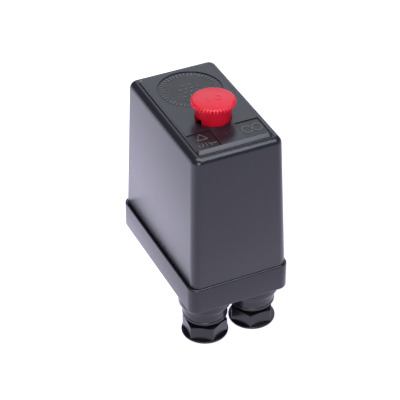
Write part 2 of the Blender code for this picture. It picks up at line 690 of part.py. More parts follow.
def earth_place():
    return FRAME_HALF_WIDTH - FRAME_SIDE - EARTH_TONGUE / 2 - MM, FRAME_FRONT - EARTH_TONGUE / 2


def block_screw_place():
    return 0, SLAB_BACK - BLOCK_SCREW_INSET, SLAB_Z + SLAB_HEIGHT / 2


def make_earth_terminal():
    x, y = earth_place()
    low = FRAME_Z + SHEET + GAP
    high = low + EARTH_WASHER["thickness"]
    hole = EARTH_SCREW["shank"] + GAP
    ring("earth_washer", hole, EARTH_WASHER["radius"], low, high, (x, y, 0), "contact_brass", SMALL)
    under_head = high + GAP
    screw("earth_screw", EARTH_SCREW, under_head - FLOOR_Z - GAP, (x, y, under_head), "contact_brass")


def make_lever():
    half = LEVER_HALF_WIDTH
    plate_front = PIN_Y - LEVER_CHEEK - MM
    lever = block("main_lever", (-half, plate_front, LEVER_Z), (half, LEVER_BACK, LEVER_TOP), "plated_steel")
    for side, sign in SIDES.items():
        outer, inner = sign * half, sign * (half - SHEET)
        join(lever, block(
            f"lever_cheek_{side}", (min(outer, inner), PIN_Y - LEVER_CHEEK, PIN_Z - LEVER_CHEEK),
            (max(outer, inner), PIN_Y + LEVER_CHEEK, LEVER_Z + SHEET / 2),
        ))
    arm_front = KNOB_Y - CARRIER_DEPTH / 2
    join(lever, block(
        "lever_arm", (-LEVER_ARM, arm_front, LEVER_Z), (LEVER_ARM, plate_front + OVER, LEVER_TOP),
    ))
    neck = 2 * CARRIER_POST + 2 * GAP
    cut(
        lever,
        block(
            "lever_fork", (-neck, arm_front - OVER, LEVER_Z - OVER),
            (neck, KNOB_Y + CARRIER_DEPTH / 2 + MM, LEVER_TOP + OVER),
        ),
        rod(
            "lever_bearing", PIN_RADIUS + BEARING_PLAY, -BASE_WIDTH, BASE_WIDTH,
            (0, PIN_Y, PIN_Z), steps=SMALL, axis="X",
        ),
    )
    for column in (RANGE_COLUMN, DIFFERENTIAL_COLUMN):
        cut(lever, rod(
            f"{column['name']}_stud_way", column["stud"] + STUD_PLAY, LEVER_Z - OVER, LEVER_TOP + OVER,
            (column["x"], column["y"], 0), steps=SMALL,
        ))
    place_origin(lever, (0, PIN_Y, PIN_Z))
    end = FRAME_HALF_WIDTH + PIN_HEAD
    rod("lever_pin", PIN_RADIUS, -end, end, (0, PIN_Y, PIN_Z), "plated_steel", SMALL, "X")


def place_origin(obj, point):
    """Moves an object's origin to a point and leaves its shape where it is."""
    shift = Vector(point) - obj.location
    obj.data.transform(Matrix.Translation(-shift))
    obj.location = point


def make_spring_column(column):
    """A fixed stud with a spring on the lever, a seat on the spring and an adjusting nut on top."""
    name, stud = column["name"], column["stud"]
    at = (column["x"], column["y"], 0)
    foot = FRAME_Z + SHEET + GAP
    spring_low = LEVER_TOP + GAP
    spring_top = spring_low + column["length"]
    seat_low = spring_top + GAP
    nut_low = seat_low + SEAT_THICKNESS + GAP
    nut_top = nut_low + column["nut"]
    stud_top = nut_top + column["spare"]
    turned(f"{name}_stud", [
        (0, foot), (stud * STUD_FOOT, foot), (stud * STUD_FOOT, foot + 2.0 * MM), (stud, foot + 2.5 * MM),
        (stud, stud_top - 0.6 * MM), (stud - 0.6 * MM, stud_top), (0, stud_top),
    ], at, "plated_steel", SMALL)
    coil(f"{name}_spring", column["spring"], column["wire"], spring_low, spring_top, column["turns"], at)
    seat_radius = column["spring"] + column["wire"] + 0.3 * MM
    ring(
        f"{name}_seat", stud + SLIP, seat_radius, 0, SEAT_THICKNESS,
        (column["x"], column["y"], seat_low), "plated_steel",
    )
    corner = column["flats"] / math.sqrt(3)
    nut = ring(
        f"{name}_nut", stud + SLIP, corner + OVER, 0, column["nut"],
        (column["x"], column["y"], nut_low), "plated_steel",
    )
    combine(nut, hexagon_bar(
        f"{name}_nut_flats", column["flats"], -OVER, column["nut"] + OVER,
        (column["x"], column["y"], nut_low),
    ), "INTERSECT")


def make_contact_block():
    half = BLOCK_HALF_WIDTH
    piece = block(
        "contact_block", (-half, SLAB_FRONT, SLAB_Z), (half, SLAB_BACK, SLAB_Z + SLAB_HEIGHT),
        "brown_moulding",
    )
    shelf_top = STRIP_Z - GAP
    join(piece, block(
        "terminal_shelf", (-half, SHELF_FRONT, shelf_top - SHELF_HEIGHT), (half, SLAB_FRONT, shelf_top),
    ))
    rib_low = shelf_top - SHELF_HEIGHT / 2
    for number in range(5):
        middle = (number - 2) * POLE_PITCH
        join(piece, block(
            f"barrier_{number}", (middle - RIB_THICKNESS / 2, SHELF_FRONT + 0.4 * MM, rib_low),
            (middle + RIB_THICKNESS / 2, SLAB_FRONT + 2.0 * MM, rib_low + RIB_RISE),
        ))
    join(piece, rod("stem_guide", GUIDE_RADIUS, SLAB_Z + OVER, GUIDE_TOP, (0, KNOB_Y, 0)))
    hole_depth = BLOCK_SCREW_REACH + BLIND_END
    cut(
        piece,
        rod("stem_way", STEM_RADIUS + SLIP, SLAB_Z - OVER, GUIDE_TOP + OVER, (0, KNOB_Y, 0)),
        rod(
            "block_screw_hole", BLOCK_SCREW["shank"] + GAP, -half - OVER, -half + hole_depth,
            block_screw_place(), steps=TINY, axis="X",
        ),
        rod(
            "block_screw_hole", BLOCK_SCREW["shank"] + GAP, half - hole_depth, half + OVER,
            block_screw_place(), steps=TINY, axis="X",
        ),
    )
    for x in POLES.values():
        cut(piece, rod(
            "terminal_thread", TERMINAL_SCREW + GAP, shelf_top - SHELF_HEIGHT + BLIND_END, shelf_top + OVER,
            (x, TERMINAL_Y, 0), steps=TINY,
        ))


def make_block_screws():
    _, y, z = block_screw_place()
    reach = FRAME_HALF_WIDTH + GAP
    length = reach - BLOCK_HALF_WIDTH + BLOCK_SCREW_REACH
    for side, sign in SIDES.items():
        screw(f"block_screw_{side}", BLOCK_SCREW, length, (sign * reach, y, z), facing=side, steps=TINY)


def make_terminals():
    strip_top = STRIP_Z + STRIP_THICKNESS
    clamp_low = strip_top + GAP
    clamp_top = clamp_low + CLAMP_THICKNESS
    under_head = clamp_top + GAP
    front, back = SHELF_FRONT + 2 * GAP, KNOB_Y + CONTACT_BUTTON + MM
    for number, x in POLES.items():
        strip = block(
            f"fixed_contact_{number}", (x - STRIP_WIDTH / 2, front, STRIP_Z),
            (x + STRIP_WIDTH / 2, back, strip_top), "contact_brass",
        )
        join(strip, rod(
            f"fixed_button_{number}", CONTACT_BUTTON, STRIP_Z - BUTTON_HEIGHT, STRIP_Z + STRIP_THICKNESS / 2,
            (x, KNOB_Y, 0), steps=SMALL,
        ))
        hole = TERMINAL_SCREW + GAP
        cut(strip, rod(
            f"strip_hole_{number}", hole, STRIP_Z - OVER, strip_top + OVER,
            (x, TERMINAL_Y, 0), steps=TINY,
        ))
        clamp = block(
            f"wire_clamp_{number}", (x - CLAMP_WIDTH / 2, TERMINAL_Y - CLAMP_LENGTH / 2, clamp_low),
            (x + CLAMP_WIDTH / 2, TERMINAL_Y + CLAMP_LENGTH / 2, clamp_top), "plated_steel",
        )
        cut(clamp, rod(
            f"clamp_hole_{number}", hole, clamp_low - OVER, clamp_top + OVER, (x, TERMINAL_Y, 0), steps=TINY,
        ))
        length = under_head - (STRIP_Z - SHELF_HEIGHT + BLIND_END)
        screw(
            f"terminal_screw_{number}", TERMINAL_HEAD, length, (x, TERMINAL_Y, under_head),
            "contact_brass", steps=TINY,
        )


def contact_heights():
    """Underside of the moving contact bars, top and underside of the carrier's bar, and its foot's top."""
    bar_low = STRIP_Z - 2 * BUTTON_HEIGHT - GAP - STRIP_THICKNESS
    carrier_top = bar_low - 2 * GAP - CONTACT_SPRING
    carrier_low = carrier_top - CARRIER_BAR
    foot_top = LEVER_Z - 2 * GAP - THRUST_WASHER
    return bar_low, carrier_top, carrier_low, foot_top


def make_carrier():
    bar_low, carrier_top, carrier_low, foot_top = contact_heights()
    half = CARRIER_DEPTH / 2
    carrier = block(
        "contact_carrier", (-CARRIER_HALF_WIDTH, KNOB_Y - half, carrier_low),
        (CARRIER_HALF_WIDTH, KNOB_Y + half, carrier_top), "white_nylon",
    )
    post_top = SLAB_Z + SLAB_HEIGHT + POST_RISE
    foot_low = foot_top - CARRIER_FOOT_HEIGHT
    join(
        carrier,
        block(
            "carrier_post", (-CARRIER_POST, KNOB_Y - CARRIER_POST_DEPTH, carrier_low + MM),
            (CARRIER_POST, KNOB_Y + CARRIER_POST_DEPTH, post_top),
        ),
        block(
            "carrier_neck", (-2 * CARRIER_POST, KNOB_Y - CARRIER_NECK_DEPTH, foot_top - MM),
            (2 * CARRIER_POST, KNOB_Y + CARRIER_NECK_DEPTH, carrier_low + MM),
        ),
        rod("carrier_foot", CARRIER_FOOT, foot_low, foot_top, (0, KNOB_Y, 0)),
    )
    ring(
        "thrust_washer", CARRIER_NECK_DEPTH + 3 * GAP, THRUST_RADIUS, 0, THRUST_WASHER,
        (0, KNOB_Y, foot_top + GAP), "white_nylon",
    )
    coil(
        "carrier_spring", CARRIER_SPRING["radius"], CARRIER_SPRING["wire"], FLOOR_Z + GAP, foot_low - GAP,
        CARRIER_SPRING["turns"], (0, KNOB_Y, 0),
    )
    for side, sign in SIDES.items():
        inner, outer = 0.5 * POLE_PITCH, 1.5 * POLE_PITCH
        middle = sign * (inner + outer) / 2
        bar = block(
            f"moving_contact_{side}",
            (middle - POLE_PITCH / 2 - STRIP_WIDTH / 2, KNOB_Y - STRIP_WIDTH / 2, bar_low),
            (middle + POLE_PITCH / 2 + STRIP_WIDTH / 2, KNOB_Y + STRIP_WIDTH / 2, bar_low + STRIP_THICKNESS),
            "contact_brass",
        )
        for place in (inner, outer):
            join(bar, rod(
                "moving_button", CONTACT_BUTTON, bar_low + STRIP_THICKNESS / 2,
                bar_low + STRIP_THICKNESS + BUTTON_HEIGHT, (sign * place, KNOB_Y, 0), steps=SMALL,
            ))
        coil(
            f"contact_spring_{side}", CONTACT_BUTTON - 0.3 * MM, CONTACT_SPRING_WIRE, carrier_top + GAP,
            bar_low - GAP, 3.0, (middle, KNOB_Y, 0),
        )


def fluted_radius(angle, radius):
    """Radius of the knob's grip at an angle: shallow scallops round the rim."""
    return radius - KNOB_FLUTE_DEPTH * (0.5 - 0.5 * math.cos(KNOB_FLUTES * angle))


def make_knob():
    """The knob's origin is on its axis, level with the cover's top."""
    rim_low = KNOB_RISE - KNOB_RIM
    skirt_low = -KNOB_SKIRT_DEPTH
    skirt_in = KNOB_SKIRT - KNOB_SKIRT_WALL
    socket = STEM_RADIUS + GAP
    boss = socket + STEM_SOCKET_WALL
    roof = KNOB_RISE - KNOB_ROOF
    socket_top = roof - KNOB_EDGE
    profile = [
        (0, KNOB_RISE), (KNOB_RADIUS - KNOB_EDGE, KNOB_RISE), (KNOB_RADIUS, KNOB_RISE - KNOB_EDGE),
        (KNOB_RADIUS, rim_low + KNOB_EDGE), (KNOB_RADIUS - KNOB_EDGE, rim_low),
        (KNOB_SKIRT + GAP, rim_low), (KNOB_SKIRT, rim_low - GAP), (KNOB_SKIRT, skirt_low),
        (skirt_in, skirt_low), (skirt_in, roof), (boss, roof), (boss, skirt_low + MM),
        (socket, skirt_low + MM), (socket, socket_top), (0, socket_top),
    ]
    at = (0, KNOB_Y, TOP_Z)
    knob = turned("knob", profile, at, "red_knob", steps=2 * KNOB_FLUTES)
    for vert in knob.data.vertices:
        radius = math.hypot(vert.co.x, vert.co.y)
        if radius > KNOB_RADIUS - KNOB_EDGE / 2:
            share = fluted_radius(math.atan2(vert.co.y, vert.co.x), radius) / radius
            vert.co.x *= share
            vert.co.y *= share
    half = KNOB_SLOT_WIDTH / 2
    for side, sign in SIDES.items():
        near, far = sign * (boss + GAP), sign * (KNOB_SKIRT + OVER)
        cut(knob, block(
            f"knob_slot_{side}", (min(near, far), KNOB_Y - half, TOP_Z + skirt_low - OVER),
            (max(near, far), KNOB_Y + half, TOP_Z + KNOB_SLOT_RISE),
        ))
    stem_top = socket_top - GAP
    collar = GUIDE_TOP - TOP_Z + KNOB_TRAVEL + 4 * CLIP_WIRE + 3 * GAP
    post_top = SLAB_Z + SLAB_HEIGHT + POST_RISE
    stem_low = post_top + GAP + KNOB_TRAVEL - TOP_Z
    turned("knob_stem", [
        (0, stem_low), (STEM_RADIUS - GAP, stem_low), (STEM_RADIUS, stem_low + GAP),
        (STEM_RADIUS, collar), (STEM_COLLAR, collar), (STEM_COLLAR, collar + STEM_COLLAR_HEIGHT),
        (STEM_RADIUS, collar + STEM_COLLAR_HEIGHT), (STEM_RADIUS, stem_top), (0, stem_top),
    ], at, "white_nylon", MEDIUM)


def make_detent_clip():
    """A hairpin of spring wire that grips the stem above its guide."""
    reach = STEM_RADIUS + SLIP + CLIP_WIRE
    points = [(-reach, -CLIP_LEG, 0, 1.0)]
    for step in range(9):
        angle = math.pi - step / 8 * math.pi
        points.append((reach * math.cos(angle), CLIP_BEND - reach + reach * math.sin(angle), 0, 1.0))
    points.append((reach, -CLIP_LEG, 0, 1.0))
    at = (0, KNOB_Y, GUIDE_TOP + GAP + CLIP_WIRE)
    wire_shape("detent_clip", points, CLIP_WIRE, at, "spring_steel")


def make_glands():
    """Each nut's origin is on its axis, level with the top of its hexagon."""
    hex_top = GLAND_RIM - NUT_STANDOFF
    hex_low = -NUT_HEIGHT
    washer_low = hex_top + NUT_SPIGOT + GAP
    seal_low = washer_low + WASHER_THICKNESS + GAP
    seal_height = FLOOR_Z - GLAND_SEAT - GAP - seal_low
    corner = NUT_ACROSS_FLATS / math.sqrt(3)
    spigot = GLAND_BORE - SLIP
    for side, sign in SIDES.items():
        x = sign * GLAND_SPACING / 2
        at = (x, GLAND_Y, hex_top)
        nut = rod(f"gland_nut_{side}", corner + OVER, hex_low - GAP, 0, at, "black_nut", MEDIUM)
        turn = math.radians(NUT_TURNS[side])
        combine(nut, hexagon_bar(
            f"nut_flats_{side}", NUT_ACROSS_FLATS, hex_low - OVER, OVER, at, turn,
        ), "INTERSECT")
        join(
            nut,
            rod(f"nut_spigot_{side}", spigot, -MM, NUT_SPIGOT, at, steps=MEDIUM),
            rod(f"nut_flange_{side}", NUT_FLANGE_RADIUS, hex_low - NUT_FLANGE, hex_low, at, steps=LARGE),
        )
        cut(nut, rod(
            f"nut_hole_{side}", NUT_HOLE, hex_low - NUT_FLANGE - OVER, NUT_SPIGOT + OVER, at, steps=MEDIUM,
        ))
        ring(
            f"gland_washer_{side}", NUT_HOLE, spigot, 0, WASHER_THICKNESS,
            (x, GLAND_Y, washer_low), "white_nylon", MEDIUM,
        )
        ring(
            f"gland_seal_{side}", SEAL_HOLE, spigot, 0, seal_height,
            (x, GLAND_Y, seal_low), "black_rubber", MEDIUM,
        )


def main():
    clear_scene()
    make_base()
    make_cover()
    make_cover_screws()
    make_flange()
    make_diaphragm_and_piston()
    make_flange_screws()
    make_frame()
    make_earth_terminal()
    make_lever()
    make_spring_column(RANGE_COLUMN)
    make_spring_column(DIFFERENTIAL_COLUMN)
    make_contact_block()
    make_block_screws()
    make_terminals()
    make_carrier()
    make_knob()
    make_detent_clip()
    make_glands()


main()
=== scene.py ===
# %% [markdown]
# # A pressure switch for a small air compressor
#
# The switch is a tall black plastic cover on a shallow base, with a red push-pull knob on top, two cable
# glands under the front end and a cast pressure port under the middle. The solid model already fixes every
# size, place and joint, so this script loads it first and builds the fine surfaces round it. Each step
# below makes one piece or one finish.

# %% Load the frame
import json
import math

import bmesh
import bpy
from mathutils import Matrix, Vector


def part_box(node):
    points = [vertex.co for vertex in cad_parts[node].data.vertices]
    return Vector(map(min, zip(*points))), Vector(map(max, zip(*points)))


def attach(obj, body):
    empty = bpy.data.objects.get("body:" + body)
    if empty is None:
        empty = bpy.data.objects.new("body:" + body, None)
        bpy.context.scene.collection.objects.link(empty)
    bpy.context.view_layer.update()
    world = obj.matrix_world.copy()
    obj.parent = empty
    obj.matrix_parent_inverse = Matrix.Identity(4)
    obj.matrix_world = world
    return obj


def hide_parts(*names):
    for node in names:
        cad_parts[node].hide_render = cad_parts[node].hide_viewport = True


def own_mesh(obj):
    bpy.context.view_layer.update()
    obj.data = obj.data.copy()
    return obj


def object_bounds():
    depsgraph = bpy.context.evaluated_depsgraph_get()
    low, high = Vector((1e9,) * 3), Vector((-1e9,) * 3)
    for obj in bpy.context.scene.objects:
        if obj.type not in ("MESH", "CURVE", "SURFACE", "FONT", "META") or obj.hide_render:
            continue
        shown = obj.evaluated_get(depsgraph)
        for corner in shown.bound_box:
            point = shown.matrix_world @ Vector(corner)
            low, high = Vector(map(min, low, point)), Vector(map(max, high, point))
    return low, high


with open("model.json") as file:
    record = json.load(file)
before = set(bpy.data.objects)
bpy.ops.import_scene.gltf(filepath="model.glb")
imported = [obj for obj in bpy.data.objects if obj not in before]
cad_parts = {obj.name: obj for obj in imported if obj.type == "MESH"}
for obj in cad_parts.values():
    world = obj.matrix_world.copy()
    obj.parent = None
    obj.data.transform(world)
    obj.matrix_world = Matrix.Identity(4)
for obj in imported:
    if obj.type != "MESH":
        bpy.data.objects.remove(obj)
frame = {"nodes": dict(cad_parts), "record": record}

MM = 0.001
cad_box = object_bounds()
print("nodes in the frame:", len(frame["nodes"]), "- overall box:", cad_box)

# %% [markdown]
# ## Camera
#
# The switch is seen from above its front left edge. The lens is long, so the cover's sides stay nearly
# parallel. The camera goes first, because it decides what every later step has to look like.

# %% Camera
VIEW_AZIMUTH = math.radians(-25.243)
VIEW_HEIGHT = math.radians(35.986)
VIEW_DISTANCE = 0.80756
LENS = 156.34
SHIFT_X = -0.00999
SHIFT_Y = -0.05275

cover_low, cover_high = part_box("cover")
aim = Vector(((cover_low.x + cover_high.x) / 2, (cover_low.y + cover_high.y) / 2, cover_low.z + 29.7 * MM))
towards_camera = Vector((
    math.sin(VIEW_AZIMUTH) * math.cos(VIEW_HEIGHT),
    -math.cos(VIEW_AZIMUTH) * math.cos(VIEW_HEIGHT),
    math.sin(VIEW_HEIGHT),
))
camera_data = bpy.data.cameras.new("camera")
camera_data.lens = LENS
camera_data.shift_x = SHIFT_X
camera_data.shift_y = SHIFT_Y
camera = bpy.data.objects.new("camera", camera_data)
camera.location = aim + towards_camera * VIEW_DISTANCE
camera.rotation_euler = (-towards_camera).to_track_quat("-Z", "Y").to_euler()
bpy.context.scene.collection.objects.link(camera)
bpy.context.scene.camera = camera
print("camera stands at", [round(c, 3) for c in camera.location])

# %% [markdown]
# ## Floor and lights
#
# Black plastic is seen mostly by what it reflects. The floor is a glowing white sheet, as on a light
# table, so it throws no shadow and gives the steep sides their soft grey. It glows more towards the back
# left, where the left side mirrors it at a glancing angle, than in front. The room is dim, which keeps the
# rounded edges dark. One soft panel overhead lights the top, one behind puts a sheen on it, one in front
# draws the light line along the shoulder, and a low one brightens the sides of the knob.

# %% Floor and lights
FLOOR_SIZE = 8.0
FLOOR_DROP = 4.0 * MM     # room for the gland nuts when they are screwed down
FLOOR_GLOW = (0.83, 0.81, 1.0, 1)
FRONT_GLOW = 1.25
BACK_GLOW = 1.85
BRIGHT_SIDE = Vector((-0.6, 0.8, 0))
floor_work = bmesh.new()
bmesh.ops.create_grid(floor_work, x_segments=1, y_segments=1, size=FLOOR_SIZE / 2)
bmesh.ops.translate(floor_work, verts=floor_work.verts, vec=(0, 0, cad_box[0][2] - FLOOR_DROP))
floor_mesh = bpy.data.meshes.new("floor")
floor_work.to_mesh(floor_mesh)
floor_work.free()
floor = bpy.data.objects.new("floor", floor_mesh)
bpy.context.scene.collection.objects.link(floor)
floor_paint = bpy.data.materials.new("glowing_floor")
floor_paint.use_nodes = True
floor_shader = floor_paint.node_tree.nodes["Principled BSDF"]
floor_shader.inputs["Base Color"].default_value = (0.05, 0.05, 0.05, 1)
floor_shader.inputs["Roughness"].default_value = 0.9
floor_shader.inputs["Specular IOR Level"].default_value = 0.0
floor_shader.inputs["Emission Color"].default_value = FLOOR_GLOW
floor_tree = floor_paint.node_tree
floor_place = floor_tree.nodes.new("ShaderNodeTexCoord")
along = floor_tree.nodes.new("ShaderNodeVectorMath")
along.operation = "DOT_PRODUCT"
along.inputs[1].default_value = BRIGHT_SIDE
glow = floor_tree.nodes.new("ShaderNodeMapRange")
glow.inputs["From Min"].default_value = -30 * MM
glow.inputs["From Max"].default_value = 60 * MM
glow.inputs["To Min"].default_value = FRONT_GLOW
glow.inputs["To Max"].default_value = BACK_GLOW
floor_tree.links.new(floor_place.outputs["Object"], along.inputs[0])
floor_tree.links.new(along.outputs["Value"], glow.inputs["Value"])
floor_tree.links.new(glow.outputs["Result"], floor_shader.inputs["Emission Strength"])
floor_mesh.materials.append(floor_paint)

ROOM_COLOUR = (0.80, 0.84, 1.0, 1)
ROOM_STRENGTH = 0.20
world = bpy.data.worlds.new("room")
world.use_nodes = True
world.node_tree.nodes["Background"].inputs["Color"].default_value = ROOM_COLOUR
world.node_tree.nodes["Background"].inputs["Strength"].default_value = ROOM_STRENGTH
bpy.context.scene.world = world


def light_panel(name, place, size, watts, colour=(1, 1, 1)):
    """A square soft light that faces the switch."""
    lamp = bpy.data.lights.new(name, "AREA")
    lamp.color = colour
    lamp.shape = "SQUARE"
    lamp.size = size
    lamp.energy = watts
    panel = bpy.data.objects.new(name, lamp)
    panel.location = place
    panel.rotation_euler = (Vector(place) - aim).to_track_quat("Z", "Y").to_euler()
    bpy.context.scene.collection.objects.link(panel)
    return panel


light_panel("overhead", (-0.1, -0.1, 2.2), 1.5, 30)
light_panel("shoulder_light", (0.72, -0.95, 1.79), 1.0, 17, (0.82, 0.88, 1.0))
light_panel("back_sheen", (0.8, 1.5, 1.25), 1.5, 9, (0.85, 0.9, 1.0))
light_panel("front_fill", (-0.9, -2.0, 0.9), 1.2, 22)
bpy.context.scene.view_settings.view_transform = "Standard"
print("floor at", round(cad_box[0][2] - FLOOR_DROP, 4))

# %% [markdown]
# ## Finishes
#
# Every finish is a small node tree on object coordinates, so it needs no picture file and stays fixed to
# the piece. A moulded plastic is never one flat value: the mould leaves a fine grain, the colour drifts a
# little, and the gloss changes from place to place. One helper lays down that pattern, and each finish
# chooses its own colour, grain size and depth.

# %% Finish helper
def new_finish(name, colour, roughness, metallic=0.0):
    material = bpy.data.materials.new(name)
    material.use_nodes = True
    shader = material.node_tree.nodes["Principled BSDF"]
    shader.inputs["Base Color"].default_value = (*colour, 1)
    shader.inputs["Roughness"].default_value = roughness
    shader.inputs["Metallic"].default_value = metallic
    return material, material.node_tree, shader


def add_pattern(tree, scale, detail=3.0, stretch=(1, 1, 1)):
    """A noise pattern on object coordinates, in marks per metre."""
    place = tree.nodes.new("ShaderNodeTexCoord")
    turn = tree.nodes.new("ShaderNodeMapping")
    turn.inputs["Scale"].default_value = stretch
    noise = tree.nodes.new("ShaderNodeTexNoise")
    noise.inputs["Scale"].default_value = scale
    noise.inputs["Detail"].default_value = detail
    tree.links.new(place.outputs["Object"], turn.inputs["Vector"])
    tree.links.new(turn.outputs["Vector"], noise.inputs["Vector"])
    return noise.outputs["Fac"]


def vary_colour(tree, shader, pattern, dark, light):
    ramp = tree.nodes.new("ShaderNodeValToRGB")
    ramp.color_ramp.elements[0].position = 0.35
    ramp.color_ramp.elements[0].color = (*dark, 1)
    ramp.color_ramp.elements[1].position = 0.68
    ramp.color_ramp.elements[1].color = (*light, 1)
    tree.links.new(pattern, ramp.inputs["Fac"])
    tree.links.new(ramp.outputs["Color"], shader.inputs["Base Color"])


def vary_roughness(tree, shader, pattern, smooth, rough):
    span = tree.nodes.new("ShaderNodeMapRange")
    span.inputs["From Min"].default_value = 0.3
    span.inputs["From Max"].default_value = 0.7
    span.inputs["To Min"].default_value = smooth
    span.inputs["To Max"].default_value = rough
    tree.links.new(pattern, span.inputs["Value"])
    tree.links.new(span.outputs["Result"], shader.inputs["Roughness"])


def add_bump(tree, shader, pattern, strength, depth):
    bump = tree.nodes.new("ShaderNodeBump")
    bump.inputs["Strength"].default_value = strength
    bump.inputs["Distance"].default_value = depth
    tree.links.new(pattern, bump.inputs["Height"])
    tree.links.new(bump.outputs["Normal"], shader.inputs["Normal"])


def moulded_plastic(name, dark, light, smooth, rough, grain=2600, grain_depth=0.03 * MM, strength=0.25):
    """Satin plastic: slow drift in colour and gloss, and the fine grain of the mould."""
    material, tree, shader = new_finish(name, light, (smooth + rough) / 2)
    drift = add_pattern(tree, 38, 4.0)
    vary_colour(tree, shader, drift, dark, light)
    vary_roughness(tree, shader, add_pattern(tree, 210, 5.0), smooth, rough)
    add_bump(tree, shader, add_pattern(tree, grain, 2.0), strength, grain_depth)
    return material


# %% [markdown]
# ### Plastics and rubber
#
# The cover and base are satin black with a cool cast. The gland nuts are smoother and deeper black. The
# sunk floors on top are duller than the panel round them, and darker with painted shade. The marks raised on
# them are smoother than those floors, and their paler colour is a painted sheen. The knob is a glossy red
# with a little light spreading under its skin. Inside, the slider parts are natural nylon and the contact
# block is a brown thermoset.

# %% Plastics and rubber
finishes = {}
finishes["black_cover"] = moulded_plastic(
    "black_cover", (0.0105, 0.0105, 0.0155), (0.0120, 0.0120, 0.0175), 0.24, 0.26,
    strength=0.08,
)
finishes["black_base"] = moulded_plastic(
    "black_base", (0.0105, 0.0105, 0.0160), (0.0120, 0.0120, 0.0180), 0.24, 0.26,
    strength=0.08,
)
finishes["black_nut"] = moulded_plastic(
    "black_nut", (0.005, 0.005, 0.007), (0.008, 0.008, 0.011), 0.22, 0.30, grain=1400,
    grain_depth=0.02 * MM, strength=0.2,
)
finishes["red_knob"] = moulded_plastic(
    "red_knob", (0.62, 0.002, 0.020), (0.67, 0.003, 0.024), 0.30, 0.36, grain=1800,
    grain_depth=0.02 * MM, strength=0.18,
)
red_shader = finishes["red_knob"].node_tree.nodes["Principled BSDF"]
red_shader.inputs["Subsurface Weight"].default_value = 0.08
red_shader.inputs["Subsurface Radius"].default_value = (1.0, 0.12, 0.08)
red_shader.inputs["Subsurface Scale"].default_value = 1.2 * MM
# Recess floors: the rougher gloss is real, and the darker colour is painted shade.
finishes["sunk_floor_painted_shade"] = moulded_plastic(
    "sunk_floor_painted_shade", (0.0060, 0.0065, 0.0080), (0.0080, 0.0085, 0.0105), 0.30, 0.38, grain=1500, strength=0.2,
)
# Raised marks: smoother than the recess floors, and their paler colour is a painted sheen.
finishes["raised_marks_painted_sheen"] = moulded_plastic(
    "raised_marks_painted_sheen", (0.085, 0.085, 0.095), (0.130, 0.130, 0.140), 0.24, 0.32,
)
finishes["white_nylon"] = moulded_plastic(
    "white_nylon", (0.62, 0.60, 0.53), (0.74, 0.72, 0.66), 0.38, 0.50,
)
finishes["brown_moulding"] = moulded_plastic(
    "brown_moulding", (0.055, 0.022, 0.012), (0.095, 0.042, 0.024), 0.34, 0.52, grain=900,
    grain_depth=0.04 * MM,
)
finishes["black_rubber"] = moulded_plastic(
    "black_rubber", (0.012, 0.012, 0.012), (0.020, 0.020, 0.020), 0.62, 0.80, grain=1600,
    grain_depth=0.05 * MM, strength=0.4,
)
print("plastics:", sorted(finishes))

# %% [markdown]
# ### Metals
#
# The pressure port is a die casting with a sandy skin. The frame, screws and nuts are zinc plated, which
# shows as faint cloudy patches and fine drawing lines. The springs are drawn wire and the contacts stamped
# brass. Stretching the pattern along one axis turns noise into drawing lines.

# %% Metals
def plated_metal(name, dark, light, smooth, rough, stretch, line_scale):
    material, tree, shader = new_finish(name, light, (smooth + rough) / 2, metallic=1.0)
    vary_colour(tree, shader, add_pattern(tree, 130, 5.0), dark, light)
    vary_roughness(tree, shader, add_pattern(tree, 320, 4.0), smooth, rough)
    add_bump(tree, shader, add_pattern(tree, line_scale, 3.0, stretch), 0.22, 0.02 * MM)
    return material


finishes["plated_steel"] = plated_metal(
    "plated_steel", (0.50, 0.50, 0.47), (0.68, 0.68, 0.66), 0.24, 0.42, (1, 14, 1), 480,
)
finishes["spring_steel"] = plated_metal(
    "spring_steel", (0.30, 0.30, 0.32), (0.46, 0.46, 0.49), 0.20, 0.34, (1, 1, 20), 520,
)
finishes["contact_brass"] = plated_metal(
    "contact_brass", (0.62, 0.43, 0.16), (0.80, 0.60, 0.27), 0.22, 0.38, (12, 1, 1), 460,
)
cast_finish, cast_tree, cast_shader = new_finish("cast_alloy", (0.52, 0.52, 0.53), 0.45, metallic=0.95)
cast_patches = add_pattern(cast_tree, 160, 6.0)
vary_colour(cast_tree, cast_shader, cast_patches, (0.40, 0.40, 0.41), (0.58, 0.58, 0.59))
vary_roughness(cast_tree, cast_shader, add_pattern(cast_tree, 420, 5.0), 0.36, 0.58)
add_bump(cast_tree, cast_shader, add_pattern(cast_tree, 1500, 4.0), 0.45, 0.05 * MM)
finishes["cast_alloy"] = cast_finish
print("finishes in all:", len(finishes))

# %% [markdown]
# ### Dress the solid pieces
#
# The pieces inside the cover already have their true shapes, so they keep them and only take a finish. The
# record says which finish each piece has.

# %% Dress the solid pieces
slot_of = {piece["node"]: piece["material_slot"] for piece in frame["record"]["subparts"]}
for node, solid in frame["nodes"].items():
    solid.data.materials.clear()
    solid.data.materials.append(finishes[slot_of[node]])
print("dressed", len(slot_of), "solid pieces")

# %% [markdown]
# ## Shaping helpers
#
# Most of the fine pieces are turned or moulded. A turned piece is an outline spun round an axis, and its
# corners are rounded by drawing a small arc at each one. A moulded piece is a box that is tapered, bevelled
# and inset, then cut by helpers that are thrown away at once. Every finished object stays at the origin
# with its place in its mesh.

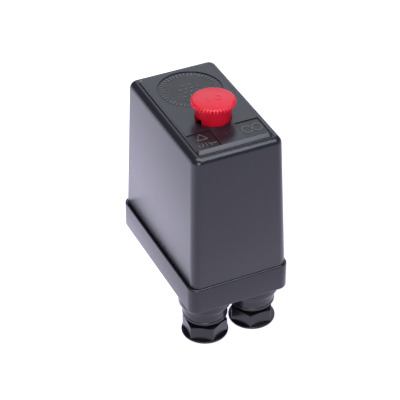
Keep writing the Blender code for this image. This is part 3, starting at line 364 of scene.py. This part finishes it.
# %% Turned shapes
def rounded(corners, steps=5):
    """Corners of (radius, height, fillet) become an outline with an arc at every filleted corner."""
    outline = []
    for number, (radius, height, fillet) in enumerate(corners):
        here = Vector((radius, height))
        if not fillet:
            outline.append(here)
            continue
        back = (Vector(corners[number - 1][:2]) - here).normalized()
        ahead = (Vector(corners[(number + 1) % len(corners)][:2]) - here).normalized()
        half = back.angle(ahead) / 2
        centre = here + (back + ahead).normalized() * fillet / math.sin(half)
        start = here + back * fillet / math.tan(half) - centre
        end = here + ahead * fillet / math.tan(half) - centre
        first = math.atan2(start.y, start.x)
        sweep = (math.atan2(end.y, end.x) - first + math.pi) % math.tau - math.pi
        for step in range(steps + 1):
            angle = first + sweep * step / steps
            outline.append(centre + fillet * Vector((math.cos(angle), math.sin(angle))))
    return outline


def turned(corners, centre, steps=96, arc=5):
    """Spins a rounded outline about an upright axis. An outline off the axis closes into a ring."""
    work = bmesh.new()
    outline = rounded(corners, arc)
    points = [work.verts.new((point.x, 0, point.y)) for point in outline]
    edges = [work.edges.new(pair) for pair in zip(points, points[1:])]
    if outline[0].x > 0:
        edges.append(work.edges.new((points[-1], points[0])))
    bmesh.ops.spin(
        work, geom=points + edges, cent=(0, 0, 0), axis=(0, 0, 1), angle=math.tau, steps=steps,
        use_merge=True,
    )
    bmesh.ops.remove_doubles(work, verts=work.verts, dist=1e-7)
    bmesh.ops.recalc_face_normals(work, faces=work.faces)
    bmesh.ops.translate(work, verts=work.verts, vec=centre)
    return work


# %% Boxes and prisms
def upright_edges(work):
    return [e for e in work.edges if abs((e.verts[0].co - e.verts[1].co).normalized().z) > 0.9]


def bevel_edges(work, edges, width, segments):
    bmesh.ops.bevel(
        work, geom=edges, offset=width, segments=segments, profile=0.5, affect="EDGES", material=-1,
    )


def slab(low, high, corner=0.0, segments=8, lean=0.0):
    """A box between two corners, whose upright edges may be rounded and whose sides may lean in."""
    low, high = Vector(low), Vector(high)
    size = high - low
    work = bmesh.new()
    bmesh.ops.create_cube(work, size=1.0)
    bmesh.ops.scale(work, verts=work.verts, vec=size)
    tops = [v for v in work.verts if v.co.z > 0]
    bmesh.ops.scale(work, verts=tops, vec=(1 - 2 * lean / size.x, 1 - 2 * lean / size.y, 1))
    if corner:
        bevel_edges(work, upright_edges(work), corner, segments)
    bmesh.ops.translate(work, verts=work.verts, vec=(low + high) / 2)
    return work


def level_face(work, top=True):
    """The face that looks straight up (or down) and lies furthest that way."""
    sign = 1 if top else -1
    level = [f for f in work.faces if f.normal.z * sign > 0.999]
    return max(level, key=lambda f: (round(sign * f.calc_center_median().z, 6), f.calc_area()))


def hexagon(across_flats, bottom, top, centre, turn):
    """A six-sided bar with slightly rounded corners."""
    work = bmesh.new()
    corner = across_flats / math.sqrt(3)
    bmesh.ops.create_cone(
        work, segments=6, radius1=corner, radius2=corner, depth=top - bottom, cap_ends=True,
    )
    first = max(work.verts, key=lambda v: (round(v.co.x, 6), v.co.z))
    start = math.atan2(first.co.y, first.co.x)
    bmesh.ops.rotate(work, verts=work.verts, matrix=Matrix.Rotation(turn - start, 3, "Z"))
    bevel_edges(work, upright_edges(work), 0.35 * MM, 3)
    bmesh.ops.translate(work, verts=work.verts, vec=(centre[0], centre[1], (top + bottom) / 2))
    return work


# %% From a mesh under work to a finished piece
def to_object(name, work, finish=None):
    work.normal_update()
    mesh = bpy.data.meshes.new(name)
    work.to_mesh(mesh)
    work.free()
    piece = bpy.data.objects.new(name, mesh)
    bpy.context.scene.collection.objects.link(piece)
    if finish:
        mesh.materials.append(finishes[finish])
    return piece


def shape_with(piece, work, how="DIFFERENCE"):
    """Cuts a closed helper out of a piece, adds it, or keeps what they share, and removes the helper."""
    helper = to_object("helper", work)
    step = piece.modifiers.new("shape", "BOOLEAN")
    step.operation = how
    step.solver = "MANIFOLD"
    step.object = helper
    graph = bpy.context.evaluated_depsgraph_get()
    shaped = bpy.data.meshes.new_from_object(piece.evaluated_get(graph))
    piece.modifiers.clear()
    old = piece.data
    piece.data = shaped
    bpy.data.meshes.remove(old)
    shaped.name = piece.name
    bpy.data.objects.remove(helper)
    return piece


def smooth(piece, angle=30):
    piece.data.shade_smooth()
    piece.data.set_sharp_from_angle(angle=math.radians(angle))


def hand_over(piece, body, slot, *nodes):
    """Puts a finished piece on its body and hides the solids that it stands for."""
    smooth(piece)
    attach(piece, body)
    if nodes:
        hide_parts(*nodes)
    print(piece.name, "-", len(piece.data.polygons), "faces, on", body)
    return piece


# %% [markdown]
# ## Cover
#
# The cover is one injection moulding. Its sides lean in so that it leaves the mould, its upright edges are
# rounded, and the top has a rounded shoulder, a fine crease and then a raised panel with a soft edge. A
# tapered box with bevelled edges gives the body, and a second box on top of it makes the panel. The panel
# falls off more gently at its ends than along its sides, so its top face is stepped in by different
# amounts. The foot of the front wall reaches a little further out, so the seam there is only a fine line.

# %% Cover body
COVER_CORNER = 4.1 * MM
SIDE_LEAN = 2.0 * MM
SHOULDER_DROP = 1.2 * MM
SHOULDER_ROUND = 3.4 * MM
CREASE_WIDTH = 0.4 * MM
CREASE_DEPTH = 0.25 * MM
FOOT_EDGE = 0.25 * MM
PANEL_SIDE_EDGE = 0.5 * MM
PANEL_END_EDGE = 1.7 * MM
PANEL_CORNER = 1.4 * MM
COVER_WALL = 2.0 * MM


def step_in(work, face, side, end, rise):
    """Draws in the outline of a level face and lifts it, which leaves a sloping band round it."""
    bmesh.ops.inset_region(work, faces=[face], thickness=0.01 * MM, use_even_offset=True)
    middle = face.calc_center_bounds()
    half_x = max(v.co.x for v in face.verts) - middle.x
    half_y = max(v.co.y for v in face.verts) - middle.y
    bmesh.ops.scale(
        work, verts=list(face.verts), vec=((half_x - side) / half_x, (half_y - end) / half_y, 1),
        space=Matrix.Translation(-middle),
    )
    bmesh.ops.translate(work, verts=list(face.verts), vec=(0, 0, rise))


shoulder_top = cover_high.z - SHOULDER_DROP
cover_work = slab(cover_low, (cover_high.x, cover_high.y, shoulder_top), COVER_CORNER, 10, SIDE_LEAN)
bevel_edges(cover_work, list(level_face(cover_work, top=False).edges), FOOT_EDGE, 2)
bevel_edges(cover_work, list(level_face(cover_work).edges), SHOULDER_ROUND, 10)
step_in(cover_work, level_face(cover_work), CREASE_WIDTH / 2, CREASE_WIDTH / 2, -CREASE_DEPTH)
FRONT_FOOT_REACH = 0.7 * MM
FOOT_HEIGHT = 0.5 * MM
foot = [
    v for v in cover_work.verts
    if v.co.z < cover_low.z + FOOT_HEIGHT and v.co.y < cover_low.y + COVER_CORNER
]
bmesh.ops.translate(cover_work, verts=foot, vec=(0, -FRONT_FOOT_REACH, 0))
cover = to_object("cover_shell", cover_work, "black_cover")
panel_inset = Vector((1, 1, 0)) * (SIDE_LEAN + SHOULDER_ROUND + CREASE_WIDTH)
panel_low = cover_low + panel_inset
panel_high = cover_high - panel_inset
panel_low.z = shoulder_top - MM
panel_high.z = shoulder_top
panel_work = slab(panel_low, panel_high, PANEL_CORNER, 6)

# Shares of the panel's edge left to draw in, and of its height reached: a slope, then a small rounding.
PANEL_SLOPE = ((1.0, 0.0), (0.3, 0.66), (0.14, 0.85), (0.05, 0.95), (0.0, 1.0))
for (outer, lower), (inner, upper) in zip(PANEL_SLOPE, PANEL_SLOPE[1:]):
    step_in(
        panel_work, level_face(panel_work), (outer - inner) * PANEL_SIDE_EDGE,
        (outer - inner) * PANEL_END_EDGE, (upper - lower) * SHOULDER_DROP,
    )
shape_with(cover, panel_work, "UNION")
print("cover is", round((cover_high.z - cover_low.z) / MM, 1), "mm tall")

# %% [markdown]
# The inside is hollowed by a smaller tapered box. Then the top takes its openings: the hole that the knob
# slides through, the shallow round recess behind it, and two small square recesses at the front corners.
# The floors of the recesses take their own duller finish, darkened with painted shade, face by face.

# %% Cover openings
knob_low, knob_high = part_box("knob")
knob_axis = Vector(((knob_low.x + knob_high.x) / 2, (knob_low.y + knob_high.y) / 2, 0))
KNOB_SKIRT = 8.2 * MM
KNOB_HOLE = 8.5 * MM
DIAL_RADIUS = 15.2 * MM
DIAL_BEHIND = 15.0 * MM
DIAL_DRAFT = 0.1 * MM     # the recess is this much wider at the top, so that it leaves the mould
RECESS_DEPTH = 0.4 * MM
BADGE_WIDTH = 11.6 * MM
BADGE_LENGTH = 12.8 * MM
BADGE_MARGIN = 0.1 * MM
BADGE_CORNER = 0.3 * MM
CEILING_INSET = 3.6 * MM
OVER = 2.0 * MM

cavity_low = cover_low + Vector((COVER_WALL, COVER_WALL, -OVER))
cavity_high = cover_high - Vector((COVER_WALL, COVER_WALL, SHOULDER_DROP + SHOULDER_ROUND))
cavity = slab(cavity_low, cavity_high, COVER_CORNER - COVER_WALL, 4, SIDE_LEAN)
ceiling_rise = SHOULDER_DROP + SHOULDER_ROUND - COVER_WALL
step_in(cavity, level_face(cavity), CEILING_INSET, CEILING_INSET, ceiling_rise)
shape_with(cover, cavity)
top = cover_high.z
shape_with(cover, turned([
    (0, top - 2 * OVER, 0), (KNOB_HOLE, top - 2 * OVER, 0), (KNOB_HOLE, top + OVER, 0), (0, top + OVER, 0),
], knob_axis))
dial_centre = Vector((0, (cover_low.y + cover_high.y) / 2 + DIAL_BEHIND, 0))
recess_floor = top - RECESS_DEPTH
dial_mouth = DIAL_RADIUS + DIAL_DRAFT
shape_with(cover, turned([
    (0, recess_floor, 0), (DIAL_RADIUS, recess_floor, 0), (dial_mouth, top, 0), (dial_mouth, top + OVER, 0),
    (0, top + OVER, 0),
], dial_centre, steps=128))
panel_front = panel_low.y + PANEL_END_EDGE
panel_side = panel_high.x - PANEL_SIDE_EDGE
badge_centres = {}
for side, sign in (("left", -1), ("right", 1)):
    reach = Vector((BADGE_WIDTH / 2, BADGE_LENGTH / 2, 0))
    centre = Vector((
        sign * (panel_side - BADGE_MARGIN - reach.x), panel_front + BADGE_MARGIN + reach.y, top,
    ))
    badge_centres[side] = centre
    shape_with(cover, slab(
        centre - reach - Vector((0, 0, RECESS_DEPTH)), centre + reach + Vector((0, 0, OVER)),
        BADGE_CORNER, 3,
    ))
cover.data.materials.clear()
cover.data.materials.append(finishes["black_cover"])
cover.data.materials.append(finishes["sunk_floor_painted_shade"])
# Faces on the recess floors take the finish whose darker colour is painted shade.
for face in cover.data.polygons:
    sunk = face.normal.z > 0.99 and abs(face.center.z - recess_floor) < RECESS_DEPTH / 2
    face.material_index = int(sunk)
hand_over(cover, "housing", "black_cover", "cover")

# %% [markdown]
# ## Moulded marks
#
# Raised marks stand on the floor of each recess. The round one carries a ring of strokes round a few short
# bars, and the square ones carry a triangle over a row of strokes, and two loops. They are generic marks,
# small boxes that narrow towards the top, sunk slightly into the plastic that they grow from. A loop is
# eight of them in a ring, which keeps one helper for every mark.

# %% Moulded marks
MARK_HEIGHT = 0.22 * MM
MARK_SINK = 0.05 * MM
MARK_WIDTH = 0.5 * MM
MARK_DRAFT = 0.1 * MM


def add_bar(work, centre, length, turn, floor):
    """One raised stroke on a level floor."""
    made = bmesh.ops.create_cube(work, size=1.0)["verts"]
    bmesh.ops.scale(work, verts=made, vec=(length, MARK_WIDTH, MARK_HEIGHT + MARK_SINK))
    tops = [v for v in made if v.co.z > 0]
    bmesh.ops.scale(work, verts=tops, vec=(1 - MARK_DRAFT / length, 1 - MARK_DRAFT / MARK_WIDTH, 1))
    bmesh.ops.rotate(work, verts=made, matrix=Matrix.Rotation(turn, 3, "Z"))
    lift = floor + (MARK_HEIGHT - MARK_SINK) / 2
    bmesh.ops.translate(work, verts=made, vec=(centre[0], centre[1], lift))


def spoke(angle, stretch=1.0):
    """A unit arm at an angle round the upright axis, which may be longer along Y."""
    return Vector((math.cos(angle), stretch * math.sin(angle), 0))


marks = bmesh.new()
STROKES = 46
STROKE_LENGTHS = (2.6 * MM, 1.7 * MM, 2.2 * MM)
for stroke in range(STROKES):
    angle = math.tau * stroke / STROKES
    length = STROKE_LENGTHS[stroke % 3]
    radius = DIAL_RADIUS - MM - length / 2
    add_bar(marks, dial_centre + radius * spoke(angle), length, angle, recess_floor)
COLUMN_STEP = 3.0 * MM
ROW_STEP = 2.9 * MM
for row, bars in enumerate((2, 4, 3, 4)):
    for column in range(bars):
        place = Vector(((column - (bars - 1) / 2) * COLUMN_STEP, (1.5 - row) * ROW_STEP, 0))
        add_bar(marks, dial_centre + place, 1.9 * MM, (column % 2) * math.pi / 2, recess_floor)
TRIANGLE_REACH = 1.45 * MM
triangle_centre = badge_centres["left"] + Vector((0, 2.6 * MM, 0))
for side in range(3):
    angle = math.tau * side / 3 - math.pi / 2
    place = triangle_centre + TRIANGLE_REACH * spoke(angle)
    add_bar(marks, place, 5.0 * MM, angle + math.pi / 2, recess_floor)
STROKE_TILTS = (90, 70, 90, 110, 0)
for column, tilt in enumerate(STROKE_TILTS):
    place = badge_centres["left"] + Vector(((column - 2) * 1.8 * MM, -3.0 * MM, 0))
    add_bar(marks, place, 2.6 * MM, math.radians(tilt), recess_floor)
LOOP_RADIUS = 2.1 * MM
LOOP_OFFSET = 2.5 * MM
LOOP_SIDES = 8
for sign in (-1, 1):
    loop_centre = badge_centres["right"] + Vector((sign * LOOP_OFFSET, 0, 0))
    for side in range(LOOP_SIDES):
        angle = math.tau * side / LOOP_SIDES
        place = loop_centre + LOOP_RADIUS * spoke(angle, stretch=1.25)
        add_bar(marks, place, 1.7 * MM, angle + math.pi / 2, recess_floor)
# The marks take the paler finish, which is a painted sheen.
moulded_marks = to_object("moulded_marks", marks, "raised_marks_painted_sheen")
hand_over(moulded_marks, "housing", "black_cover")

PIP_HEIGHT = 0.35 * MM
pip = to_object("index_pip", turned([
    (0, top - MARK_SINK, 0), (0.7 * MM, top - MARK_SINK, 0), (0.55 * MM, top + PIP_HEIGHT, 0.2 * MM),
    (0, top + PIP_HEIGHT, 0),
], (knob_axis.x - 0.5 * MM, panel_front + 7.5 * MM, 0), steps=24), "black_cover")
hand_over(pip, "housing", "black_cover")

# %% [markdown]
# ## Base
#
# The base is a shallow tray that the cover stands on, one millimetre wider all round, so that a narrow ledge
# shows. Two round bosses grow out of its underside at the front for the cable glands. The tray is a bevelled
# box, each boss is turned and joined on, and then the bores are cut.

# %% Base
BASE_CORNER = 4.6 * MM
BASE_FLOOR = 2.7 * MM
BASE_TOP_ROUND = 0.85 * MM
BASE_FOOT_ROUND = 1.2 * MM
PARTING = 0.3 * MM        # the tray stops this far short of the cover above it and of the flange below
base_low, base_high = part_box("base")
flange_low, flange_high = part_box("pressure_flange")
seam = cover_low.z - PARTING
base_bottom = flange_high.z + PARTING
base_work = slab((base_low.x, base_low.y, base_bottom), (base_high.x, base_high.y, seam), BASE_CORNER, 10)
bevel_edges(base_work, list(level_face(base_work).edges), BASE_TOP_ROUND, 6)
bevel_edges(base_work, list(level_face(base_work, top=False).edges), BASE_FOOT_ROUND, 5)
base = to_object("base_tray", base_work, "black_base")

BOSS_COLLAR = 12.5 * MM
BOSS_NECK = 10.4 * MM
BOSS_BEAD = BOSS_NECK + 0.25 * MM
BOSS_TIP = BOSS_NECK - 0.3 * MM
BOSS_BORE = 8.1 * MM
BORE_LEAD = 0.4 * MM
CABLE_HOLE = 6.0 * MM
boss_rim = base_low.z
gland_axes = {}
for side in ("left", "right"):
    nut_low, nut_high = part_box(f"gland_nut_{side}")
    gland_axes[side] = Vector(((nut_low.x + nut_high.x) / 2, (nut_low.y + nut_high.y) / 2, 0))
    shape_with(base, turned([
        (0, boss_rim, 0), (BOSS_TIP, boss_rim, 0), (BOSS_TIP, boss_rim + 0.5 * MM, 0),
        (BOSS_BEAD, boss_rim + 0.6 * MM, 0.2 * MM), (BOSS_BEAD, boss_rim + 1.5 * MM, 0.3 * MM),
        (BOSS_NECK, boss_rim + 1.8 * MM, 0), (BOSS_NECK, base_bottom - 5.6 * MM, 1.6 * MM),
        (BOSS_COLLAR, base_bottom - 3.2 * MM, 1.6 * MM), (BOSS_COLLAR, base_bottom + BASE_FLOOR / 2, 0),
        (0, base_bottom + BASE_FLOOR / 2, 0),
    ], gland_axes[side]), "UNION")
BASE_WALL = 3.2 * MM
shape_with(base, slab(
    (base_low.x + BASE_WALL, base_low.y + BASE_WALL, base_bottom + BASE_FLOOR),
    (base_high.x - BASE_WALL, base_high.y - BASE_WALL, seam + OVER), BASE_CORNER - BASE_WALL, 4,
))
for side, axis in gland_axes.items():
    shape_with(base, turned([
        (0, boss_rim - OVER, 0), (BOSS_BORE + BORE_LEAD, boss_rim - OVER, 0),
        (BOSS_BORE + BORE_LEAD, boss_rim, 0), (BOSS_BORE, boss_rim + BORE_LEAD, 0),
        (BOSS_BORE, base_bottom + 0.3 * MM, 0), (CABLE_HOLE, base_bottom + 0.3 * MM, 0),
        (CABLE_HOLE, base_bottom + BASE_FLOOR + OVER, 0),
        (0, base_bottom + BASE_FLOOR + OVER, 0),
    ], axis))
GROOVE_WIDTH = 0.6 * MM
GROOVE_DEPTH = 1.2 * MM
for sign in (-1, 1):
    inner, outer = sorted((sign * cover_high.x, sign * (cover_high.x + GROOVE_WIDTH)))
    shape_with(base, slab(
        (inner, cover_low.y + COVER_CORNER, seam - GROOVE_DEPTH),
        (outer, cover_high.y - COVER_CORNER, seam + OVER),
    ))
HEAD_SINK_RADIUS = 2.5 * MM
SCREW_HOLE = 1.6 * MM
sink_floor = base_bottom + 1.8 * MM
cover_screws = [node for node in frame["nodes"] if node.startswith("cover_screw")]
for node in cover_screws:
    low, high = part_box(node)
    axis = Vector(((low.x + high.x) / 2, (low.y + high.y) / 2, 0))
    shape_with(base, turned([
        (0, base_bottom - OVER, 0), (HEAD_SINK_RADIUS, base_bottom - OVER, 0),
        (HEAD_SINK_RADIUS, sink_floor, 0), (SCREW_HOLE, sink_floor, 0),
        (SCREW_HOLE, base_bottom + BASE_FLOOR + OVER, 0),
        (0, base_bottom + BASE_FLOOR + OVER, 0),
    ], axis, steps=40))
hand_over(base, "housing", "black_base", "base")

# %% [markdown]
# ## Knob
#
# The knob is pulled up to switch on and pushed down to switch off. Its head has a finely fluted rim for the
# fingers, and the skirt below it slides into the cover. It is turned first, and then the points on the rim
# are drawn in by a wave that repeats round the circle. Two slots in the skirt are cut last.

# %% Knob
FLUTES = 38
FLUTE_DEPTH = 0.6 * MM
FLUTE_BAND = 0.9 * MM     # the flutes fade out this far in from the rim
KNOB_RADIUS = 10.2 * MM
RIM_HEIGHT = 2.5 * MM
SOCKET_OUTER = 4.7 * MM   # the socket inside the skirt that grips the stem
SOCKET_INNER = 3.3 * MM
skirt_inner = KNOB_SKIRT - 1.5 * MM
socket_mouth = knob_low.z + MM
HEAD_RELIEF = 0.12 * MM   # the head's flat lies this far under the signs raised on it
head_top = knob_high.z - HEAD_RELIEF
rim_low = knob_high.z - RIM_HEIGHT
roof = knob_high.z - 2.4 * MM
knob_work = turned([
    (0, head_top, 0), (KNOB_RADIUS - 1.15 * MM, head_top, 0),
    (KNOB_RADIUS - 0.85 * MM, head_top - 0.12 * MM, 0), (KNOB_RADIUS, knob_high.z - 0.75 * MM, 0.35 * MM),
    (KNOB_RADIUS, rim_low, 0.4 * MM), (KNOB_SKIRT + 0.35 * MM, rim_low, 0.15 * MM),
    (KNOB_SKIRT, rim_low - 0.5 * MM, 0.3 * MM), (KNOB_SKIRT, knob_low.z, 0.3 * MM),
    (skirt_inner, knob_low.z, 0.2 * MM), (skirt_inner, roof, 0), (SOCKET_OUTER, roof, 0),
    (SOCKET_OUTER, socket_mouth, 0), (SOCKET_INNER, socket_mouth, 0),
    (SOCKET_INNER, roof - 0.5 * MM, 0), (0, roof - 0.5 * MM, 0),
], knob_axis, steps=FLUTES * 8)
for vert in knob_work.verts:
    arm = Vector((vert.co.x - knob_axis.x, vert.co.y - knob_axis.y, 0))
    share = (arm.length - (KNOB_RADIUS - FLUTE_BAND)) / FLUTE_BAND
    if share > 0:
        wave = 0.5 - 0.5 * math.cos(FLUTES * math.atan2(arm.y, arm.x))
        vert.co -= arm.normalized() * FLUTE_DEPTH * min(share, 1.0) * wave ** 1.6
knob = to_object("knob_cap", knob_work, "red_knob")
SLOT_HALF = 3.45 * MM
SLOT_ROOT = 5.0 * MM
slot_top = top + 2.1 * MM
for sign in (-1, 1):
    near, far = sorted((sign * SLOT_ROOT, sign * (KNOB_SKIRT + OVER)))
    shape_with(knob, slab(
        (near, knob_axis.y - SLOT_HALF, knob_low.z - OVER), (far, knob_axis.y + SLOT_HALF, slot_top),
    ))
hand_over(knob, "knob", "red_knob", "knob")

# %% [markdown]
# Low relief on the head shows which way is off and which is on: a short bar and a ring, the plain signs that
# switches of every make carry.

# %% Knob relief
relief = bmesh.new()
bar_centre = knob_axis - Vector((2.6 * MM, 0, 0))
ring_centre = knob_axis + Vector((2.2 * MM, 0, 0))
ring_foot = head_top - 0.15 * MM
add_bar(relief, bar_centre, 3.4 * MM, math.pi / 2, knob_high.z - MARK_HEIGHT)
knob_relief = to_object("knob_relief", relief, "red_knob")
shape_with(knob_relief, turned([
    (1.35 * MM, ring_foot, 0), (1.85 * MM, ring_foot, 0), (1.8 * MM, knob_high.z, 0),
    (1.4 * MM, knob_high.z, 0),
], ring_centre, steps=48), "UNION")
hand_over(knob_relief, "knob", "red_knob")

# %% [markdown]
# ## Cable glands
#
# Each gland nut has six flats for a spanner, a thin round flange at its lower end and a threaded spigot
# that goes up into the boss. Turning it up squeezes a rubber seal round the cable. The hexagon is what a
# hexagonal bar and a turned blank share, so its upper corners are chamfered as they would be on a lathe. The
# flats of the two nuts stand at different angles, as on nuts tightened by hand.

# %% Gland nuts
ACROSS_FLATS = 18.6 * MM
HEX_HEIGHT = 7.0 * MM
NUT_FLANGE = 11.1 * MM
NUT_FLANGE_THICKNESS = 1.0 * MM
NUT_HOLE = 4.6 * MM
HOLE_LEAD = 0.8 * MM
SPIGOT = 7.75 * MM
THREAD_PITCH = 1.5 * MM
THREAD_DEPTH = 0.7 * MM
THREAD_START = 0.6 * MM
nut_turns = {"left": math.radians(26.3), "right": math.radians(0.8)}
for side, axis in gland_axes.items():
    low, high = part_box(f"gland_nut_{side}")
    shelf = low.z + NUT_FLANGE_THICKNESS
    hex_top = shelf + HEX_HEIGHT
    blank = ACROSS_FLATS / math.sqrt(3) + 0.3 * MM
    nut = to_object(f"gland_nut_body_{side}", turned([
        (0, shelf - 0.5 * MM, 0), (blank, shelf - 0.5 * MM, 0), (blank, hex_top - 1.0 * MM, 0),
        (ACROSS_FLATS / 2 - 0.1 * MM, hex_top, 0), (0, hex_top, 0),
    ], axis), "black_nut")
    shape_with(nut, hexagon(ACROSS_FLATS, shelf - OVER, hex_top + OVER, axis, nut_turns[side]), "INTERSECT")
    shape_with(nut, turned([
        (0, low.z, 0), (NUT_FLANGE, low.z, 0.35 * MM), (NUT_FLANGE, shelf, 0.3 * MM),
        (ACROSS_FLATS / 2 - 0.5 * MM, shelf + 0.05 * MM, 0), (0, shelf + 0.05 * MM, 0),
    ], axis), "UNION")
    thread = [(0, hex_top - MM, 0), (SPIGOT, hex_top - MM, 0), (SPIGOT, hex_top + THREAD_START, 0)]
    turns = int((high.z - hex_top - 2 * THREAD_START) / THREAD_PITCH)
    for turn in range(turns):
        start = hex_top + THREAD_START + turn * THREAD_PITCH
        thread.append((SPIGOT - THREAD_DEPTH, start + THREAD_PITCH * 0.35, 0))
        thread.append((SPIGOT, start + THREAD_PITCH * 0.75, 0))
        thread.append((SPIGOT, start + THREAD_PITCH, 0))
    thread += [(SPIGOT, high.z - 0.5 * MM, 0), (SPIGOT - 0.5 * MM, high.z, 0), (0, high.z, 0)]
    shape_with(nut, turned(thread, axis), "UNION")
    shape_with(nut, turned([
        (0, low.z - OVER, 0), (NUT_HOLE + HOLE_LEAD, low.z - OVER, 0), (NUT_HOLE + HOLE_LEAD, low.z, 0),
        (NUT_HOLE, low.z + HOLE_LEAD, 0), (NUT_HOLE, high.z + OVER, 0), (0, high.z + OVER, 0),
    ], axis))
    hand_over(nut, f"gland_nut_{side}", "black_nut", f"gland_nut_{side}")

# %% [markdown]
# The seal and the slip washer above each nut are seen only by looking up the hole, but they should be round
# there too. Both are turned rings with softened edges.

# %% Gland seals and washers
SEAL_HOLE = 4.35 * MM
for side, axis in gland_axes.items():
    for kind, slot, body, hole, soft in (
        ("seal", "black_rubber", "housing", SEAL_HOLE, 0.5 * MM),
        ("washer", "white_nylon", f"gland_washer_{side}", NUT_HOLE, 0.2 * MM),
    ):
        low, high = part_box(f"gland_{kind}_{side}")
        outer = (high.x - low.x) / 2
        piece = to_object(f"gland_{kind}_ring_{side}", turned([
            (hole, low.z, soft), (outer, low.z, soft), (outer, high.z, soft), (hole, high.z, soft),
        ], axis, steps=72), slot)
        hand_over(piece, body, slot, f"gland_{kind}_{side}")

# %% [markdown]
# ## Pressure port
#
# The port is a die-cast flange with a round boss. A quarter-inch pipe screws into the boss, so its bore
# carries a thread, drawn here as turned grooves. Four screws hold the flange up against the base.

# %% Pressure port
flange_middle = Vector((0, 0, 0))
PORT_RADIUS = 11.0 * MM
PORT_BORE = 5.9 * MM
PORT_LENGTH = 14.7 * MM
flange_work = slab((flange_low.x, flange_low.y, PORT_LENGTH), flange_high, 3.0 * MM, 8)
bevel_edges(flange_work, list(level_face(flange_work, top=False).edges), 0.5 * MM, 3)
flange = to_object("port_flange", flange_work, "cast_alloy")
shape_with(flange, turned([
    (0, flange_low.z, 0), (PORT_RADIUS, flange_low.z, 0.8 * MM), (PORT_RADIUS, PORT_LENGTH - 1.6 * MM, 0),
    (PORT_RADIUS + 0.5 * MM, PORT_LENGTH - 0.5 * MM, 0), (PORT_RADIUS + 1.6 * MM, PORT_LENGTH, 0),
    (PORT_RADIUS + 1.6 * MM, PORT_LENGTH + MM, 0), (0, PORT_LENGTH + MM, 0),
], flange_middle), "UNION")
PIPE_PITCH = 1.337 * MM
PIPE_TURNS = 7
PIPE_THREAD_DEPTH = 0.6 * MM
PORT_LEAD = 0.9 * MM
WAY_IN = 2.5 * MM         # radius of the passage that leads on to the diaphragm
bore = [
    (0, -OVER, 0), (PORT_BORE + PORT_LEAD, -OVER, 0), (PORT_BORE + PORT_LEAD, 0, 0),
    (PORT_BORE, PORT_LEAD, 0),
]
for turn in range(PIPE_TURNS):
    start = PORT_LEAD + turn * PIPE_PITCH
    bore.append((PORT_BORE + PIPE_THREAD_DEPTH, start + PIPE_PITCH / 2, 0))
    bore.append((PORT_BORE, start + PIPE_PITCH, 0))
bore += [(PORT_BORE, 11.0 * MM, 0), (WAY_IN, 12.5 * MM, 0), (WAY_IN, 16.7 * MM, 0), (0, 16.7 * MM, 0)]
shape_with(flange, turned(bore, flange_middle))
FLANGE_HOLE = 2.3 * MM
flange_screws = [node for node in frame["nodes"] if node.startswith("flange_screw")]
for node in flange_screws:
    low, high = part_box(node)
    axis = Vector(((low.x + high.x) / 2, (low.y + high.y) / 2, 0))
    shape_with(flange, turned([
        (0, PORT_LENGTH - OVER, 0), (FLANGE_HOLE, PORT_LENGTH - OVER, 0),
        (FLANGE_HOLE, flange_high.z + OVER, 0), (0, flange_high.z + OVER, 0),
    ], axis, steps=40))
hand_over(flange, "housing", "cast_alloy", "pressure_flange")

# %% [markdown]
# ## Screws under the base
#
# Seven pan-head screws show from below. Each is turned with a rounded head, and its cross slot is cut by two
# thin bars.

# %% Screws
SLOT_WIDTH = 0.8 * MM
SLOT_DEPTH = 0.9 * MM


def pan_screw(node, head_radius, head_height, shank):
    """A screw that points up, in place of the node's plain one."""
    low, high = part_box(node)
    axis = Vector(((low.x + high.x) / 2, (low.y + high.y) / 2, 0))
    under_head = low.z + head_height
    screw = to_object(f"{node}_fine", turned([
        (0, low.z, 0), (head_radius * 0.8, low.z, 0.3 * MM),
        (head_radius, low.z + 0.5 * head_height, 0.3 * MM), (head_radius, under_head, 0.1 * MM),
        (shank, under_head, 0), (shank, high.z - 0.8 * MM, 0), (shank * 0.5, high.z, 0), (0, high.z, 0),
    ], axis, steps=48), "plated_steel")
    for turn in (math.radians(45), math.radians(135)):
        reach = head_radius * 0.62
        bar = slab((-reach, -SLOT_WIDTH / 2, -OVER), (reach, SLOT_WIDTH / 2, SLOT_DEPTH))
        bmesh.ops.rotate(bar, verts=bar.verts, matrix=Matrix.Rotation(turn, 3, "Z"))
        bmesh.ops.translate(bar, verts=bar.verts, vec=(axis.x, axis.y, low.z))
        shape_with(screw, bar)
    hand_over(screw, "housing", "plated_steel", node)


for node in cover_screws:
    pan_screw(node, 2.2 * MM, 1.5 * MM, 1.3 * MM)
for node in flange_screws:
    pan_screw(node, 3.5 * MM, 2.2 * MM, 2.0 * MM)

# %% [markdown]
# ## Springs
#
# The carrier spring under the contacts and the two setting springs get shorter as the parts on them move.
# Each is a plain copy of the solid coil, put on the housing as it stands.

# %% Springs
for node, joint, share in (
    ("carrier_spring", "contact_open", 0.6), ("range_spring", "lever_tilt", 0.93),
    ("differential_spring", "lever_tilt", 0.93),
):
    low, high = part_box(node)
    coil_work = bmesh.new()
    coil_work.from_mesh(frame["nodes"][node].data)
    bmesh.ops.remove_doubles(coil_work, verts=coil_work.verts, dist=1e-7)
    spring = to_object(f"{node}_coil", coil_work, "spring_steel")
    hand_over(spring, "housing", "spring_steel", node)
    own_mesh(spring)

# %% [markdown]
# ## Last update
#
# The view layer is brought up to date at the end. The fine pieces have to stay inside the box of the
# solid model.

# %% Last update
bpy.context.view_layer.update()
